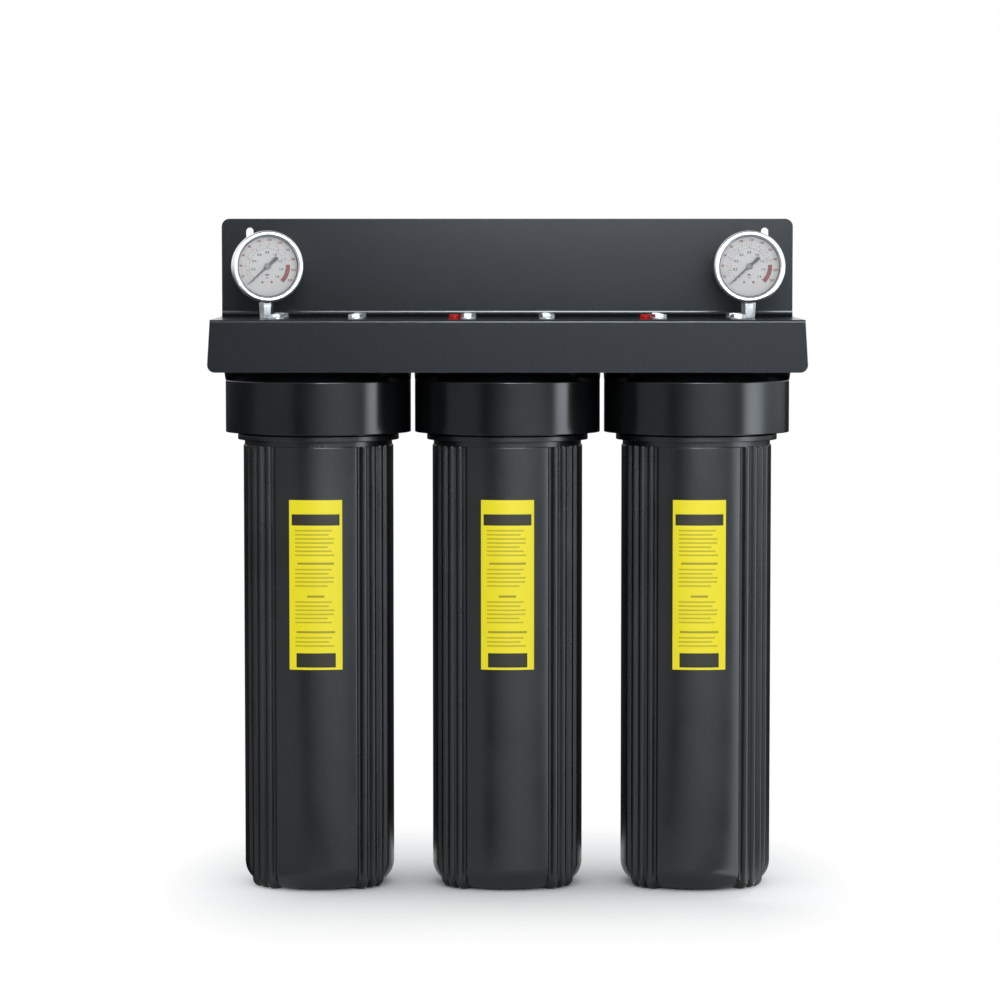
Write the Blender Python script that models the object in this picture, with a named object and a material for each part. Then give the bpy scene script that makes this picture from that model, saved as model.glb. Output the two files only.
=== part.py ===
"""Three-stage water filter: three filter housings in a row under one bent steel bracket.

Metres, +Z up. The origin is on the floor under the middle housing's axis, the front looks
along -Y, and the water runs from the inlet at -X to the outlet at +X. Each housing is a head
that is bolted under the bracket and a long ribbed sump that screws into the head from below.
A cartridge stands inside each sump. The first and the last head carry a pressure gauge, the
other relief valves have a red button.
"""
import math

import bmesh
import bpy
from mathutils import Matrix

MM = 0.001

# Fits
FIT_GAP = 0.3 * MM              # between two pieces that touch
OVERRUN = 3.0 * MM              # how far a cutter runs past the face it opens
MERGE_DISTANCE = 0.01 * MM      # vertices closer than this are one vertex
ROUND_SEGMENTS = 24             # around the large turned pieces
FACE_SEGMENTS = 20              # around the gauges
INNER_SEGMENTS = 16             # around cavities and the port barrel
SMALL_SEGMENTS = 12             # around pipes and cartridges
TINY_SEGMENTS = 8               # around pins and screw holes
SMOOTH_ANGLE = math.radians(32)

# Cartridge: 20 inch class, open at both ends, pressed between two ring-shaped seats
STAGES = 3
CARTRIDGE_LENGTH = 500.0 * MM
WATER_GAP = 10.0 * MM           # between the cartridge and the sump's wall
CORE_RADIUS = 14.3 * MM
END_CAP_THICKNESS = 6.0 * MM
SEAT_RADIUS = 22.0 * MM
SEAT_HEIGHT = 3.0 * MM
SEAT_HALF_WIDTH = 1.6 * MM
PIN_CLEARANCE = 1.0 * MM        # between the core and the pins that centre it
PIN_ENGAGEMENT = 7.0 * MM

# Sump: ribbed cup with a collar, a threaded neck and a sealing rim
SUMP_RADIUS = 74.5 * MM
SUMP_WALL = 7.5 * MM
SUMP_FLOOR = 6.0 * MM
PANEL_FILLET = 22.0 * MM        # rounding of the smooth panels at the foot
RIB_FILLET = 8.0 * MM           # rounding of the rib ends at the foot
PANEL_FILLET_STEPS = 2
GROOVE_DEPTH = 3.6 * MM
GROOVE_WIDTH = 5.0 * MM
GROOVE_FLOOR_share = 0.6        # width of a groove's floor as a share of its mouth
GROOVES_PER_GROUP = 4
FIRST_GROOVE_ANGLE = math.radians(36.3)
GROOVE_PITCH_ANGLE = math.radians(9.5)
FRONT_PANEL_STEPS = 6
SIDE_PANEL_STEPS = 4
NECK_INSET = 1.2 * MM
NECK_HEIGHT = 5.2 * MM
COLLAR_OVERHANG = 5.5 * MM
COLLAR_HEIGHT = 5.5 * MM
THREAD_INSET = 1.6 * MM         # thread crest inside the collar's edge
THREAD_LENGTH = 34.0 * MM
RIM_LENGTH = 13.8 * MM
RIM_INSET = 3.8 * MM            # rim inside the thread crest
RIM_DROP = 12.0 * MM            # rim top below the cartridge's top
O_RING_HEIGHT = 3.6 * MM        # seal on the ledge between thread and rim

# Head: skirt, sloping shoulder, port barrel and bolt bosses
SKIRT_WALL = 12.7 * MM
SKIRT_GAP = 1.9 * MM            # open slit between collar and skirt
SKIRT_EDGE = 3.0 * MM
SHOULDER_EDGE = 1.5 * MM
THREAD_CLEARANCE = 0.9 * MM
RIM_CLEARANCE = 1.0 * MM
RIM_HEADROOM = 2.0 * MM
SHOULDER_LIFT = 3.3 * MM        # shoulder edge above the chamber's straight wall
CEILING_MARGIN = 1.5 * MM       # chamber ceiling wider than the cartridge
CEILING_WALL = 6.5 * MM
HEAD_GAP = 4.0 * MM             # open slit between two heads
PORT_RADIUS = 29.6 * MM         # collars at both ends of the port barrel
PORT_SINK = 0.4 * MM            # barrel sunk into the shoulder
BARREL_INSET = 3.4 * MM
PORT_COLLAR_LENGTH = 16.0 * MM
PASSAGE_RADIUS = 13.0 * MM
DROP_RADIUS = 9.5 * MM
INLET_DROP_X = 41.0 * MM
PASSAGE_END = 1.5 * MM          # passage runs this far past its drop
NIPPLE_RADIUS = 16.5 * MM
NIPPLE_WALL = 4.0 * MM
NIPPLE_ENGAGEMENT = 20.0 * MM
PORT_THREAD_RADIUS = 15.2 * MM
INSERT_WALL = 5.8 * MM
INSERT_LENGTH = 22.0 * MM

# Bolts: M8 with a hexagon head and a flange, four in each head on a square
BOLT_SPACING = 77.8 * MM
BOLT_RADIUS = 3.9 * MM
BOLT_LENGTH = 22.0 * MM
BOLT_FLANGE_RADIUS = 8.0 * MM
BOLT_FLANGE_HEIGHT = 1.4 * MM
BOLT_FLATS = 13.0 * MM
BOLT_HEX_HEIGHT = 3.1 * MM
BOLT_BOSS_WALL = 6.8 * MM
BOLT_HOLE_CLEARANCE = 0.6 * MM

# Relief valve: red button on a spring, with a valve disc under its seat
RELIEF_ASIDE = 13.5 * MM        # button axis beside the front bolt
BUTTON_RADIUS = 5.2 * MM
BUTTON_TRAVEL = 3.0 * MM
BUTTON_PROUD = 1.6 * MM         # above the shelf when it is pressed
BUTTON_CROWN = 1.0 * MM
BUTTON_GUIDE = 8.0 * MM         # button length inside the boss
RELIEF_WALL = 2.9 * MM
RELIEF_CLEARANCE = 0.4 * MM
SPRING_ROOM = 8.0 * MM
SPRING_TURNS = 4
SPRING_POINTS_PER_TURN = 6
SPRING_WIRE_RADIUS = 0.4 * MM
SPRING_RADIUS = 3.4 * MM
RELIEF_STEM_RADIUS = 1.6 * MM
RELIEF_SEAT_LENGTH = 8.0 * MM
VALVE_DISC_RADIUS = 3.0 * MM
VALVE_DISC_HEIGHT = 2.0 * MM

# Bracket: one sheet bent twice, a wall plate, a shelf and a front flange
SHEET = 2.0 * MM
BRACKET_END_MARGIN = 9.7 * MM   # sheet beyond the outer heads
BACK_PLATE_HEIGHT = 99.0 * MM   # above the shelf
FLANGE_HEIGHT = 51.3 * MM       # below the shelf's top
FLANGE_FLARE = 3.0 * MM         # flange is wider than the shelf by this on each side
FRONT_REACH = 88.0 * MM         # flange face in front of the head axes
BACK_REACH = 93.0 * MM          # wall plate's face behind them
BACK_BEND = 6.0 * MM
FRONT_BEND = 4.0 * MM
SHEET_CORNER = 8.0 * MM
BEND_STEPS = 3
KEYHOLE_INSET = 28.6 * MM
KEYHOLE_DROP = 9.0 * MM         # top of the slot under the sheet's top edge
KEYHOLE_SLOT_WIDTH = 7.4 * MM
KEYHOLE_SLOT_LENGTH = 20.0 * MM
KEYHOLE_RADIUS = 8.0 * MM
KEYHOLE_STEPS = 10

# Pressure gauges: 63 mm class, on the axis of the port barrel
GAUGE_ASIDE = 51.3 * MM
GAUGE_YAWS = (math.radians(11.5), math.radians(1.5))
BEZEL_RADIUS = 34.75 * MM
BEZEL_WALL = 0.9 * MM
BEZEL_FACE = 4.6 * MM
BEZEL_ROLL_share = 0.3          # rounding of the rolled edge as a share of its face
BEZEL_HEIGHT = 2.6 * MM         # bezel's lip in front of the window
CASE_WALL = 1.3 * MM
CASE_BACK = 14.0 * MM           # behind the stem's axis
CASE_FRONT = 10.5 * MM          # in front of it
CASE_ROUNDING = 4.0 * MM
WINDOW_THICKNESS = 2.0 * MM
DIAL_THICKNESS = 0.8 * MM
DIAL_FACE = 6.4 * MM            # printed face in front of the stem's axis
DIAL_MARGIN = 0.8 * MM
STEM_VISIBLE = 16.5 * MM        # between bezel and shelf
STEM_HEX_RADIUS = 7.7 * MM
STEM_HEX_share = 0.5            # straight part of the visible stem, the rest tapers
STEM_THREAD_RADIUS = 5.2 * MM
STEM_THREAD_LENGTH = 12.0 * MM
STEM_NECK_RADIUS = 5.0 * MM
STEM_HOLE_CLEARANCE = 0.5 * MM
STEM_BOSS_WALL = 5.5 * MM

# Gauge movement behind the dial
TOOTH_MODULE = 0.8 * MM
PINION_TEETH = 8
SECTOR_TEETH_PER_TURN = 40
SECTOR_TEETH = 9
TOOTH_WIDTH_share = 0.36        # tooth width as a share of the pitch
TOOTH_ROOT_share = 1.5          # tooth width at its root as a share of its tip
TOOTH_HEIGHT_share = 0.8        # tooth height above the pitch circle, in modules
GEAR_THICKNESS = 1.6 * MM
GEAR_SIDE_GAP = 0.8 * MM
SECTOR_MIDDLE_ANGLE = math.radians(225)
POINTER_SWEEP = math.radians(267)
POINTER_REST = math.radians(222)
ARBOR_RADIUS = 0.9 * MM
PIVOT_CLEARANCE = 0.35 * MM
PLATE_THICKNESS = 1.4 * MM
PLATE_MARGIN = 7.0 * MM         # plate beyond the arbor and the sector's shaft
PLATE_SPACING = 7.0 * MM
PILLAR_RADIUS = 1.5 * MM
PILLAR_INSET = 2.0 * MM         # pillar axis inside the plate's corner
HUB_RADIUS = 3.1 * MM
HUB_THICKNESS = 1.8 * MM
HUB_GAP = 0.8 * MM
POINTER_LENGTH = 22.0 * MM
POINTER_TAIL = 13.7 * MM
POINTER_THICKNESS = 0.6 * MM
POINTER_WIDTH = 4.2 * MM
POINTER_WAIST_shares = (0.7, 0.6)   # half width behind and before the hub
POINTER_TIP_share = 0.1
TUBE_RADIUS = 25.6 * MM
TUBE_RADIAL = 3.4 * MM
TUBE_WIDTH = 8.0 * MM
TUBE_SWEEP = math.radians(262)
TUBE_STEPS = 14
BLOCK_HALF_WIDTH = 7.0 * MM
BLOCK_HEIGHT = 9.5 * MM
BLOCK_DEPTH = 9.0 * MM
TONGUE_THICKNESS = 3.0 * MM

# Heights that follow from the sizes above, all measured from the floor
SUMP_FLOOR_TOP = SUMP_FLOOR
CARTRIDGE_BOTTOM = SUMP_FLOOR_TOP + SEAT_HEIGHT + FIT_GAP
CARTRIDGE_TOP = CARTRIDGE_BOTTOM + CARTRIDGE_LENGTH
RIM_TOP = CARTRIDGE_TOP - RIM_DROP
THREAD_TOP = RIM_TOP - RIM_LENGTH
COLLAR_TOP = THREAD_TOP - THREAD_LENGTH
COLLAR_BOTTOM = COLLAR_TOP - COLLAR_HEIGHT
BODY_TOP = COLLAR_BOTTOM - NECK_HEIGHT
SKIRT_BOTTOM = COLLAR_TOP + SKIRT_GAP
SEAL_LEDGE_Z = THREAD_TOP + O_RING_HEIGHT + 2 * FIT_GAP
CHAMBER_WALL_TOP = RIM_TOP + RIM_HEADROOM
SHOULDER_Z = CHAMBER_WALL_TOP + SHOULDER_LIFT
CEILING_Z = CARTRIDGE_TOP + FIT_GAP + SEAT_HEIGHT
CROWN_Z = CEILING_Z + CEILING_WALL
HEAD_TOP = SHOULDER_Z + 2 * PORT_RADIUS - PORT_SINK
PORT_Z = HEAD_TOP - PORT_RADIUS
SHELF_TOP = HEAD_TOP + FIT_GAP + SHEET
GAUGE_Z = SHELF_TOP + STEM_VISIBLE + BEZEL_RADIUS

# Radii that follow
CAVITY_RADIUS = SUMP_RADIUS - SUMP_WALL
CARTRIDGE_RADIUS = CAVITY_RADIUS - WATER_GAP
COLLAR_RADIUS = SUMP_RADIUS + COLLAR_OVERHANG
THREAD_RADIUS = COLLAR_RADIUS - THREAD_INSET
RIM_RADIUS = THREAD_RADIUS - RIM_INSET
THREAD_BORE = THREAD_RADIUS + THREAD_CLEARANCE
RIM_BORE = RIM_RADIUS + RIM_CLEARANCE
SKIRT_RADIUS = THREAD_BORE + SKIRT_WALL
CEILING_RADIUS = CARTRIDGE_RADIUS + CEILING_MARGIN
CROWN_RADIUS = CEILING_RADIUS + CEILING_MARGIN
PIN_RADIUS = CORE_RADIUS - PIN_CLEARANCE
INSERT_RADIUS = PORT_THREAD_RADIUS + INSERT_WALL
HEAD_PITCH = 2 * SKIRT_RADIUS + HEAD_GAP
BOLT_OFFSET = BOLT_SPACING / 2
RELIEF_X = -BOLT_OFFSET - RELIEF_ASIDE
RELIEF_Y = -BOLT_OFFSET
RELIEF_BORE = BUTTON_RADIUS + RELIEF_CLEARANCE
BRACKET_HALF_WIDTH = HEAD_PITCH + SKIRT_RADIUS + BRACKET_END_MARGIN
CASE_RADIUS = BEZEL_RADIUS - BEZEL_WALL - FIT_GAP
PINION_RADIUS = TOOTH_MODULE * PINION_TEETH / 2
SECTOR_RADIUS = TOOTH_MODULE * SECTOR_TEETH_PER_TURN / 2
GEAR_DISTANCE = PINION_RADIUS + SECTOR_RADIUS
STAGE_X = [HEAD_PITCH * (stage - (STAGES - 1) / 2) for stage in range(STAGES)]

# Colour (sRGB), roughness and metallic value of each finish
FINISHES = {
    "black_polypropylene": ("24282B", 0.42, 0.0),
    "powder_coated_steel": ("3A3F43", 0.55, 0.0),
    "zinc_plated_steel": ("C9CDD0", 0.30, 1.0),
    "brass": ("B89A5A", 0.32, 1.0),
    "polished_steel": ("D6DBDF", 0.18, 1.0),
    "nickel_plated_brass": ("CFD3D6", 0.16, 1.0),
    "window_glass": ("E8EEF0", 0.05, 0.0),
    "enamelled_dial": ("CDD2D6", 0.50, 0.0),
    "dark_pointer": ("4A4E52", 0.40, 0.0),
    "red_plastic": ("B01E20", 0.35, 0.0),
    "nitrile_rubber": ("17181A", 0.70, 0.0),
    "sediment_fibre": ("F1F1EC", 0.90, 0.0),
    "carbon_block": ("2B2B2C", 0.85, 0.0),
    "granular_cartridge": ("E6E8E6", 0.55, 0.0),
    "white_end_cap": ("DDE0E1", 0.50, 0.0),
    "spring_steel": ("9DA3A8", 0.30, 1.0),
}


# Helpers

def clear_scene():
    """Start from an empty scene."""
    for obj in list(bpy.data.objects):
        bpy.data.objects.remove(obj)


def linear(channel):
    """sRGB channel, 0 to 1, as a linear value."""
    return channel / 12.92 if channel <= 0.04045 else ((channel + 0.055) / 1.055) ** 2.4


def finish(name):
    """The Principled material of one finish, made once."""
    if name in bpy.data.materials:
        return bpy.data.materials[name]
    colour, roughness, metallic = FINISHES[name]
    material = bpy.data.materials.new(name)
    material.use_nodes = True
    shader = material.node_tree.nodes["Principled BSDF"]
    rgb = [linear(int(colour[i:i + 2], 16) / 255) for i in (0, 2, 4)]
    shader.inputs["Base Color"].default_value = (*rgb, 1)
    shader.inputs["Roughness"].default_value = roughness
    shader.inputs["Metallic"].default_value = metallic
    return material


def to_object(name, bm):
    """Write a bmesh into a new object of the scene."""
    bmesh.ops.recalc_face_normals(bm, faces=bm.faces)
    mesh = bpy.data.meshes.new(name)
    bm.to_mesh(mesh)
    bm.free()
    obj = bpy.data.objects.new(name, mesh)
    bpy.context.scene.collection.objects.link(obj)
    return obj


def revolve(name, profile, segments, closed=False):
    """Spin (radius, height) points about Z. A closed profile makes a ring."""
    bm = bmesh.new()
    verts = [bm.verts.new((radius, 0, height)) for radius, height in profile]
    edges = [bm.edges.new(pair) for pair in zip(verts, verts[1:])]
    if closed:
        edges.append(bm.edges.new((verts[-1], verts[0])))
    bmesh.ops.spin(bm, geom=verts + edges, cent=(0, 0, 0), axis=(0, 0, 1),
                   angle=math.tau, steps=segments, use_duplicate=False)
    bmesh.ops.remove_doubles(bm, verts=bm.verts, dist=MERGE_DISTANCE)
    return to_object(name, bm)


def cylinder(name, radius, bottom, top, segments, x=0, y=0, turn=0):
    """Upright cylinder between two heights, its first corner turned from +X."""
    obj = revolve(name, [(0, bottom), (radius, bottom), (radius, top), (0, top)], segments)
    obj.data.transform(Matrix.Translation((x, y, 0)) @ Matrix.Rotation(turn, 4, "Z"))
    return obj


def tube(name, outer, inner, bottom, top, segments):
    """Upright tube between two heights."""
    section = [(inner, bottom), (outer, bottom), (outer, top), (inner, top)]
    return revolve(name, section, segments, closed=True)


def loft(name, rings):
    """Skin a stack of rings that have the same number of points, with a cap at each end."""
    bm = bmesh.new()
    loops = [[bm.verts.new(point) for point in ring] for ring in rings]
    for lower, upper in zip(loops, loops[1:]):
        for i in range(len(lower)):
            bm.faces.new((lower[i - 1], lower[i], upper[i], upper[i - 1]))
    bm.faces.new(loops[0])
    bm.faces.new(loops[-1])
    return to_object(name, bm)


def prism(name, outline, start, end):
    """Extrude an (x, y) outline from one height to another."""
    bm = bmesh.new()
    face = bm.faces.new([bm.verts.new((x, y, start)) for x, y in outline])
    extruded = bmesh.ops.extrude_face_region(bm, geom=[face])["geom"]
    moved = [item for item in extruded if isinstance(item, bmesh.types.BMVert)]
    bmesh.ops.translate(bm, verts=moved, vec=(0, 0, end - start))
    return to_object(name, bm)


def box(name, x_range, y_range, z_range):
    """Box between two limits on each axis."""
    (x0, x1), (y0, y1) = x_range, y_range
    return prism(name, [(x0, y0), (x1, y0), (x1, y1), (x0, y1)], *z_range)


def lay_along_x(obj):
    """Turn a piece made about Z so that its height runs along +X."""
    obj.data.transform(Matrix.Rotation(math.pi / 2, 4, "Y"))
    return obj


def face_front(obj):
    """Turn a piece made about Z so that its height runs to the front, along -Y."""
    obj.data.transform(Matrix.Rotation(math.pi / 2, 4, "X"))
    return obj


def bake(obj):
    """Turn an object's modifiers into its mesh."""
    depsgraph = bpy.context.evaluated_depsgraph_get()
    mesh = bpy.data.meshes.new_from_object(obj.evaluated_get(depsgraph))
    obj.modifiers.clear()
    obj.data = mesh
    return obj


def weld(obj):
    """Close the hairline slits that a cut leaves where corners nearly meet."""
    bm = bmesh.new()
    bm.from_mesh(obj.data)
    bmesh.ops.remove_doubles(bm, verts=bm.verts, dist=MERGE_DISTANCE)
    bmesh.ops.dissolve_degenerate(bm, edges=bm.edges, dist=MERGE_DISTANCE)
    bm.to_mesh(obj.data)
    bm.free()


def boolean(target, operation, tools):
    """Join the tools to the target, or cut them from it, one after another."""
    for tool in tools:
        modifier = target.modifiers.new(operation, "BOOLEAN")
        modifier.operation = operation
        modifier.solver = "EXACT"
        modifier.object = tool
        bake(target)
        weld(target)
        bpy.data.objects.remove(tool)
    return target


def join(target, *tools):
    return boolean(target, "UNION", tools)


def cut(target, *tools):
    return boolean(target, "DIFFERENCE", tools)


def node(obj, name, finish_name, parent=None, place=(0, 0, 0)):
    """Name a finished piece, give it its finish and put it in place under its parent."""
    obj.name = name
    obj.data.name = name
    obj.data.materials.clear()
    obj.data.materials.append(finish(finish_name))
    obj.data.shade_smooth()
    obj.data.set_sharp_from_angle(angle=SMOOTH_ANGLE)
    obj.location = place
    obj.parent = parent
    return obj


def copy_of(obj, name):
    """A second object with its own copy of the mesh."""
    twin = bpy.data.objects.new(name, obj.data.copy())
    bpy.context.scene.collection.objects.link(twin)
    return twin


def empty(name, place, yaw=0):
    """Parent for the pieces of one sub-assembly, at its axis."""
    obj = bpy.data.objects.new(name, None)
    bpy.context.scene.collection.objects.link(obj)
    obj.location = place
    obj.rotation_euler.z = yaw
    return obj


# Sump

def fillet_inset(height, radius):
    """How far a foot rounding of this radius draws the wall in at a height."""
    if height >= radius:
        return 0
    return radius - math.sqrt(radius ** 2 - (radius - height) ** 2)


def quadrant_stations():
    """(angle from the front, kind of wall) from the front panel's middle to the side's."""
    half_mouth = GROOVE_WIDTH / 2 / SUMP_RADIUS
    half_floor = half_mouth * GROOVE_FLOOR_share
    centres = [FIRST_GROOVE_ANGLE + i * GROOVE_PITCH_ANGLE for i in range(GROOVES_PER_GROUP)]
    panel_edge = centres[0] - half_mouth
    stations = [(panel_edge * 2 * i / FRONT_PANEL_STEPS, "panel")
                for i in range(FRONT_PANEL_STEPS // 2)]
    for centre in centres:
        before = "panel" if centre == centres[0] else "rib"
        after = "panel" if centre == centres[-1] else "rib"
        stations.append((centre - half_mouth, before))
        stations.append((centre - half_floor, "groove"))
        stations.append((centre + half_floor, "groove"))
        stations.append((centre + half_mouth, after))
    side_edge = centres[-1] + half_mouth
    side_step = (math.pi / 2 - side_edge) * 2 / SIDE_PANEL_STEPS
    stations += [(side_edge + side_step * (i + 1), "panel") for i in range(SIDE_PANEL_STEPS // 2)]
    return stations


def sump_section(height):
    """Points of the ribbed wall's outline at a height above the floor."""
    panel = SUMP_RADIUS - fillet_inset(height, PANEL_FILLET)
    radii = {
        "panel": panel,
        "rib": SUMP_RADIUS - fillet_inset(height, RIB_FILLET),
        "groove": min(SUMP_RADIUS - GROOVE_DEPTH, panel),
    }
    quarter = quadrant_stations()
    half = quarter + [(math.pi - angle, kind) for angle, kind in reversed(quarter[:-1])]
    full = half + [(math.tau - angle, kind) for angle, kind in reversed(half[1:-1])]
    return [(radii[kind] * math.sin(angle), -radii[kind] * math.cos(angle), height)
            for angle, kind in full]


def make_sump():
    """Ribbed cup with its collar, thread and rim, hollow inside."""
    steps = [i * math.pi / 2 / PANEL_FILLET_STEPS for i in range(PANEL_FILLET_STEPS + 1)]
    levels = [PANEL_FILLET * (1 - math.cos(step)) for step in steps] + [BODY_TOP]
    sump = loft("sump", [sump_section(level) for level in levels])

    neck = SUMP_RADIUS - NECK_INSET
    mouth = [
        (0, BODY_TOP - OVERRUN), (CAVITY_RADIUS + FIT_GAP, BODY_TOP - OVERRUN),
        (neck, BODY_TOP), (neck, COLLAR_BOTTOM),
        (COLLAR_RADIUS, COLLAR_BOTTOM), (COLLAR_RADIUS, COLLAR_TOP),
        (THREAD_RADIUS, COLLAR_TOP), (THREAD_RADIUS, THREAD_TOP),
        (RIM_RADIUS, THREAD_TOP), (RIM_RADIUS, RIM_TOP), (0, RIM_TOP),
    ]
    join(sump, revolve("mouth", mouth, ROUND_SEGMENTS))

    pin_top = CARTRIDGE_BOTTOM + PIN_ENGAGEMENT
    fillet = PANEL_FILLET - SUMP_FLOOR
    bevel = fillet * (1 - math.cos(math.pi / 4))
    cavity = [
        (0, pin_top), (PIN_RADIUS, pin_top), (PIN_RADIUS, SUMP_FLOOR_TOP),
        (SEAT_RADIUS - SEAT_HALF_WIDTH, SUMP_FLOOR_TOP),
        (SEAT_RADIUS, SUMP_FLOOR_TOP + SEAT_HEIGHT),
        (SEAT_RADIUS + SEAT_HALF_WIDTH, SUMP_FLOOR_TOP),
        (CAVITY_RADIUS - fillet, SUMP_FLOOR_TOP),
        (CAVITY_RADIUS - bevel, SUMP_FLOOR_TOP + bevel),
        (CAVITY_RADIUS, SUMP_FLOOR_TOP + fillet),
        (CAVITY_RADIUS, RIM_TOP + OVERRUN), (0, RIM_TOP + OVERRUN),
    ]
    return cut(sump, revolve("cavity", cavity, INNER_SEGMENTS))


def make_o_ring():
    """Seal on the sump's ledge, clear of the bore's flats when it turns with the sump."""
    outer = THREAD_BORE * math.cos(math.pi / ROUND_SEGMENTS) - FIT_GAP
    inner = RIM_RADIUS + FIT_GAP
    bottom = THREAD_TOP + FIT_GAP
    middle = bottom + O_RING_HEIGHT / 2
    centre = (outer + inner) / 2
    section = [(inner, middle), (centre, bottom), (outer, middle), (centre, bottom + O_RING_HEIGHT)]
    return revolve("o_ring", section, ROUND_SEGMENTS, closed=True)


# Cartridges

def make_cartridge(capped):
    """The filter body and, where the kind has them, its two end caps."""
    bottom, top = CARTRIDGE_BOTTOM, CARTRIDGE_TOP
    if not capped:
        return [tube("media", CARTRIDGE_RADIUS, CORE_RADIUS, bottom, top, SMALL_SEGMENTS)]
    low, high = bottom + END_CAP_THICKNESS, top - END_CAP_THICKNESS
    media = tube("media", CARTRIDGE_RADIUS - 2 * FIT_GAP, CORE_RADIUS,
                 low + FIT_GAP, high - FIT_GAP, SMALL_SEGMENTS)
    bottom_cap = tube("cap", CARTRIDGE_RADIUS, CORE_RADIUS, bottom, low, SMALL_SEGMENTS)
    top_cap = tube("cap", CARTRIDGE_RADIUS, CORE_RADIUS, high, top, SMALL_SEGMENTS)
    return [media, bottom_cap, top_cap]


# Head

def make_head_blank():
    """Skirt, shoulder, port barrel and bolt bosses as one casting, not yet bored."""
    shell = [
        (0, SKIRT_BOTTOM), (SKIRT_RADIUS - SKIRT_EDGE, SKIRT_BOTTOM),
        (SKIRT_RADIUS, SKIRT_BOTTOM + SKIRT_EDGE),
        (SKIRT_RADIUS, SHOULDER_Z - SHOULDER_EDGE),
        (SKIRT_RADIUS - SHOULDER_EDGE, SHOULDER_Z),
        (CROWN_RADIUS, CROWN_Z), (0, CROWN_Z),
    ]
    head = revolve("head", shell, ROUND_SEGMENTS)

    barrel = PORT_RADIUS - BARREL_INSET
    inner_end = SKIRT_RADIUS - PORT_COLLAR_LENGTH
    ports = [
        (0, -SKIRT_RADIUS), (PORT_RADIUS, -SKIRT_RADIUS), (PORT_RADIUS, -inner_end),
        (barrel, BARREL_INSET - inner_end), (barrel, inner_end - BARREL_INSET),
        (PORT_RADIUS, inner_end), (PORT_RADIUS, SKIRT_RADIUS), (0, SKIRT_RADIUS),
    ]
    port_barrel = lay_along_x(revolve("ports", ports, INNER_SEGMENTS))
    port_barrel.data.transform(Matrix.Translation((0, 0, PORT_Z)))
    boss_radius = BOLT_RADIUS + BOLT_BOSS_WALL
    bosses = [cylinder("boss", boss_radius, SHOULDER_Z, HEAD_TOP, TINY_SEGMENTS, x, y)
              for x, y in bolt_places()]
    return join(head, port_barrel, *bosses)


def bolt_places():
    """Axes of a head's four bolts."""
    return [(x, y) for x in (-BOLT_OFFSET, BOLT_OFFSET) for y in (-BOLT_OFFSET, BOLT_OFFSET)]


def port_bore(side, counterbore, depth, end):
    """Cutter for one port: a counterbore and the passage behind it, from the -X or +X end."""
    face = -SKIRT_RADIUS
    profile = [
        (0, face - OVERRUN), (counterbore, face - OVERRUN), (counterbore, face + depth),
        (PASSAGE_RADIUS, face + depth), (PASSAGE_RADIUS, end), (0, end),
    ]
    bore = revolve("port_bore", [(radius, side * x) for radius, x in profile], SMALL_SEGMENTS)
    lay_along_x(bore)
    bore.data.transform(Matrix.Translation((0, 0, PORT_Z)))
    return bore


def bore_chamber(head):
    """Hollow out a head: thread bore, rim bore and ceiling, then seat ring and centring pin."""
    profile = [
        (0, SKIRT_BOTTOM - OVERRUN), (THREAD_BORE, SKIRT_BOTTOM - OVERRUN),
        (THREAD_BORE, SEAL_LEDGE_Z), (RIM_BORE, SEAL_LEDGE_Z),
        (RIM_BORE, CHAMBER_WALL_TOP), (CEILING_RADIUS, CEILING_Z), (0, CEILING_Z),
    ]
    cut(head, revolve("chamber", profile, ROUND_SEGMENTS))
    root = CEILING_Z + OVERRUN
    half_root = SEAT_HALF_WIDTH * (SEAT_HEIGHT + OVERRUN) / SEAT_HEIGHT
    ring = [(SEAT_RADIUS - half_root, root), (SEAT_RADIUS, CEILING_Z - SEAT_HEIGHT),
            (SEAT_RADIUS + half_root, root)]
    pin_bottom = CARTRIDGE_TOP - PIN_ENGAGEMENT
    join(head, revolve("seat", ring, SMALL_SEGMENTS, closed=True),
         cylinder("pin", PIN_RADIUS, pin_bottom, root, SMALL_SEGMENTS))
    for x, mouth in ((-INLET_DROP_X, CEILING_Z), (0, pin_bottom)):
        cut(head, cylinder("drop", DROP_RADIUS, mouth - OVERRUN, PORT_Z, TINY_SEGMENTS, x,
                           turn=math.pi / TINY_SEGMENTS))


def relief_bore():
    """Stepped bore of a relief valve: spring room, seat and way to the chamber."""
    room_bottom = HEAD_TOP - BUTTON_GUIDE - SPRING_ROOM
    seat_bottom = room_bottom - RELIEF_SEAT_LENGTH
    seat = RELIEF_STEM_RADIUS + RELIEF_CLEARANCE
    disc = VALVE_DISC_RADIUS + RELIEF_CLEARANCE
    profile = [
        (0, HEAD_TOP + OVERRUN), (RELIEF_BORE, HEAD_TOP + OVERRUN), (RELIEF_BORE, room_bottom),
        (seat, room_bottom), (seat, seat_bottom), (disc, seat_bottom),
        (disc, CHAMBER_WALL_TOP), (0, CHAMBER_WALL_TOP),
    ]
    bore = revolve("relief_bore", profile, TINY_SEGMENTS)
    bore.data.transform(Matrix.Translation((RELIEF_X, RELIEF_Y, 0)))
    return bore


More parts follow.
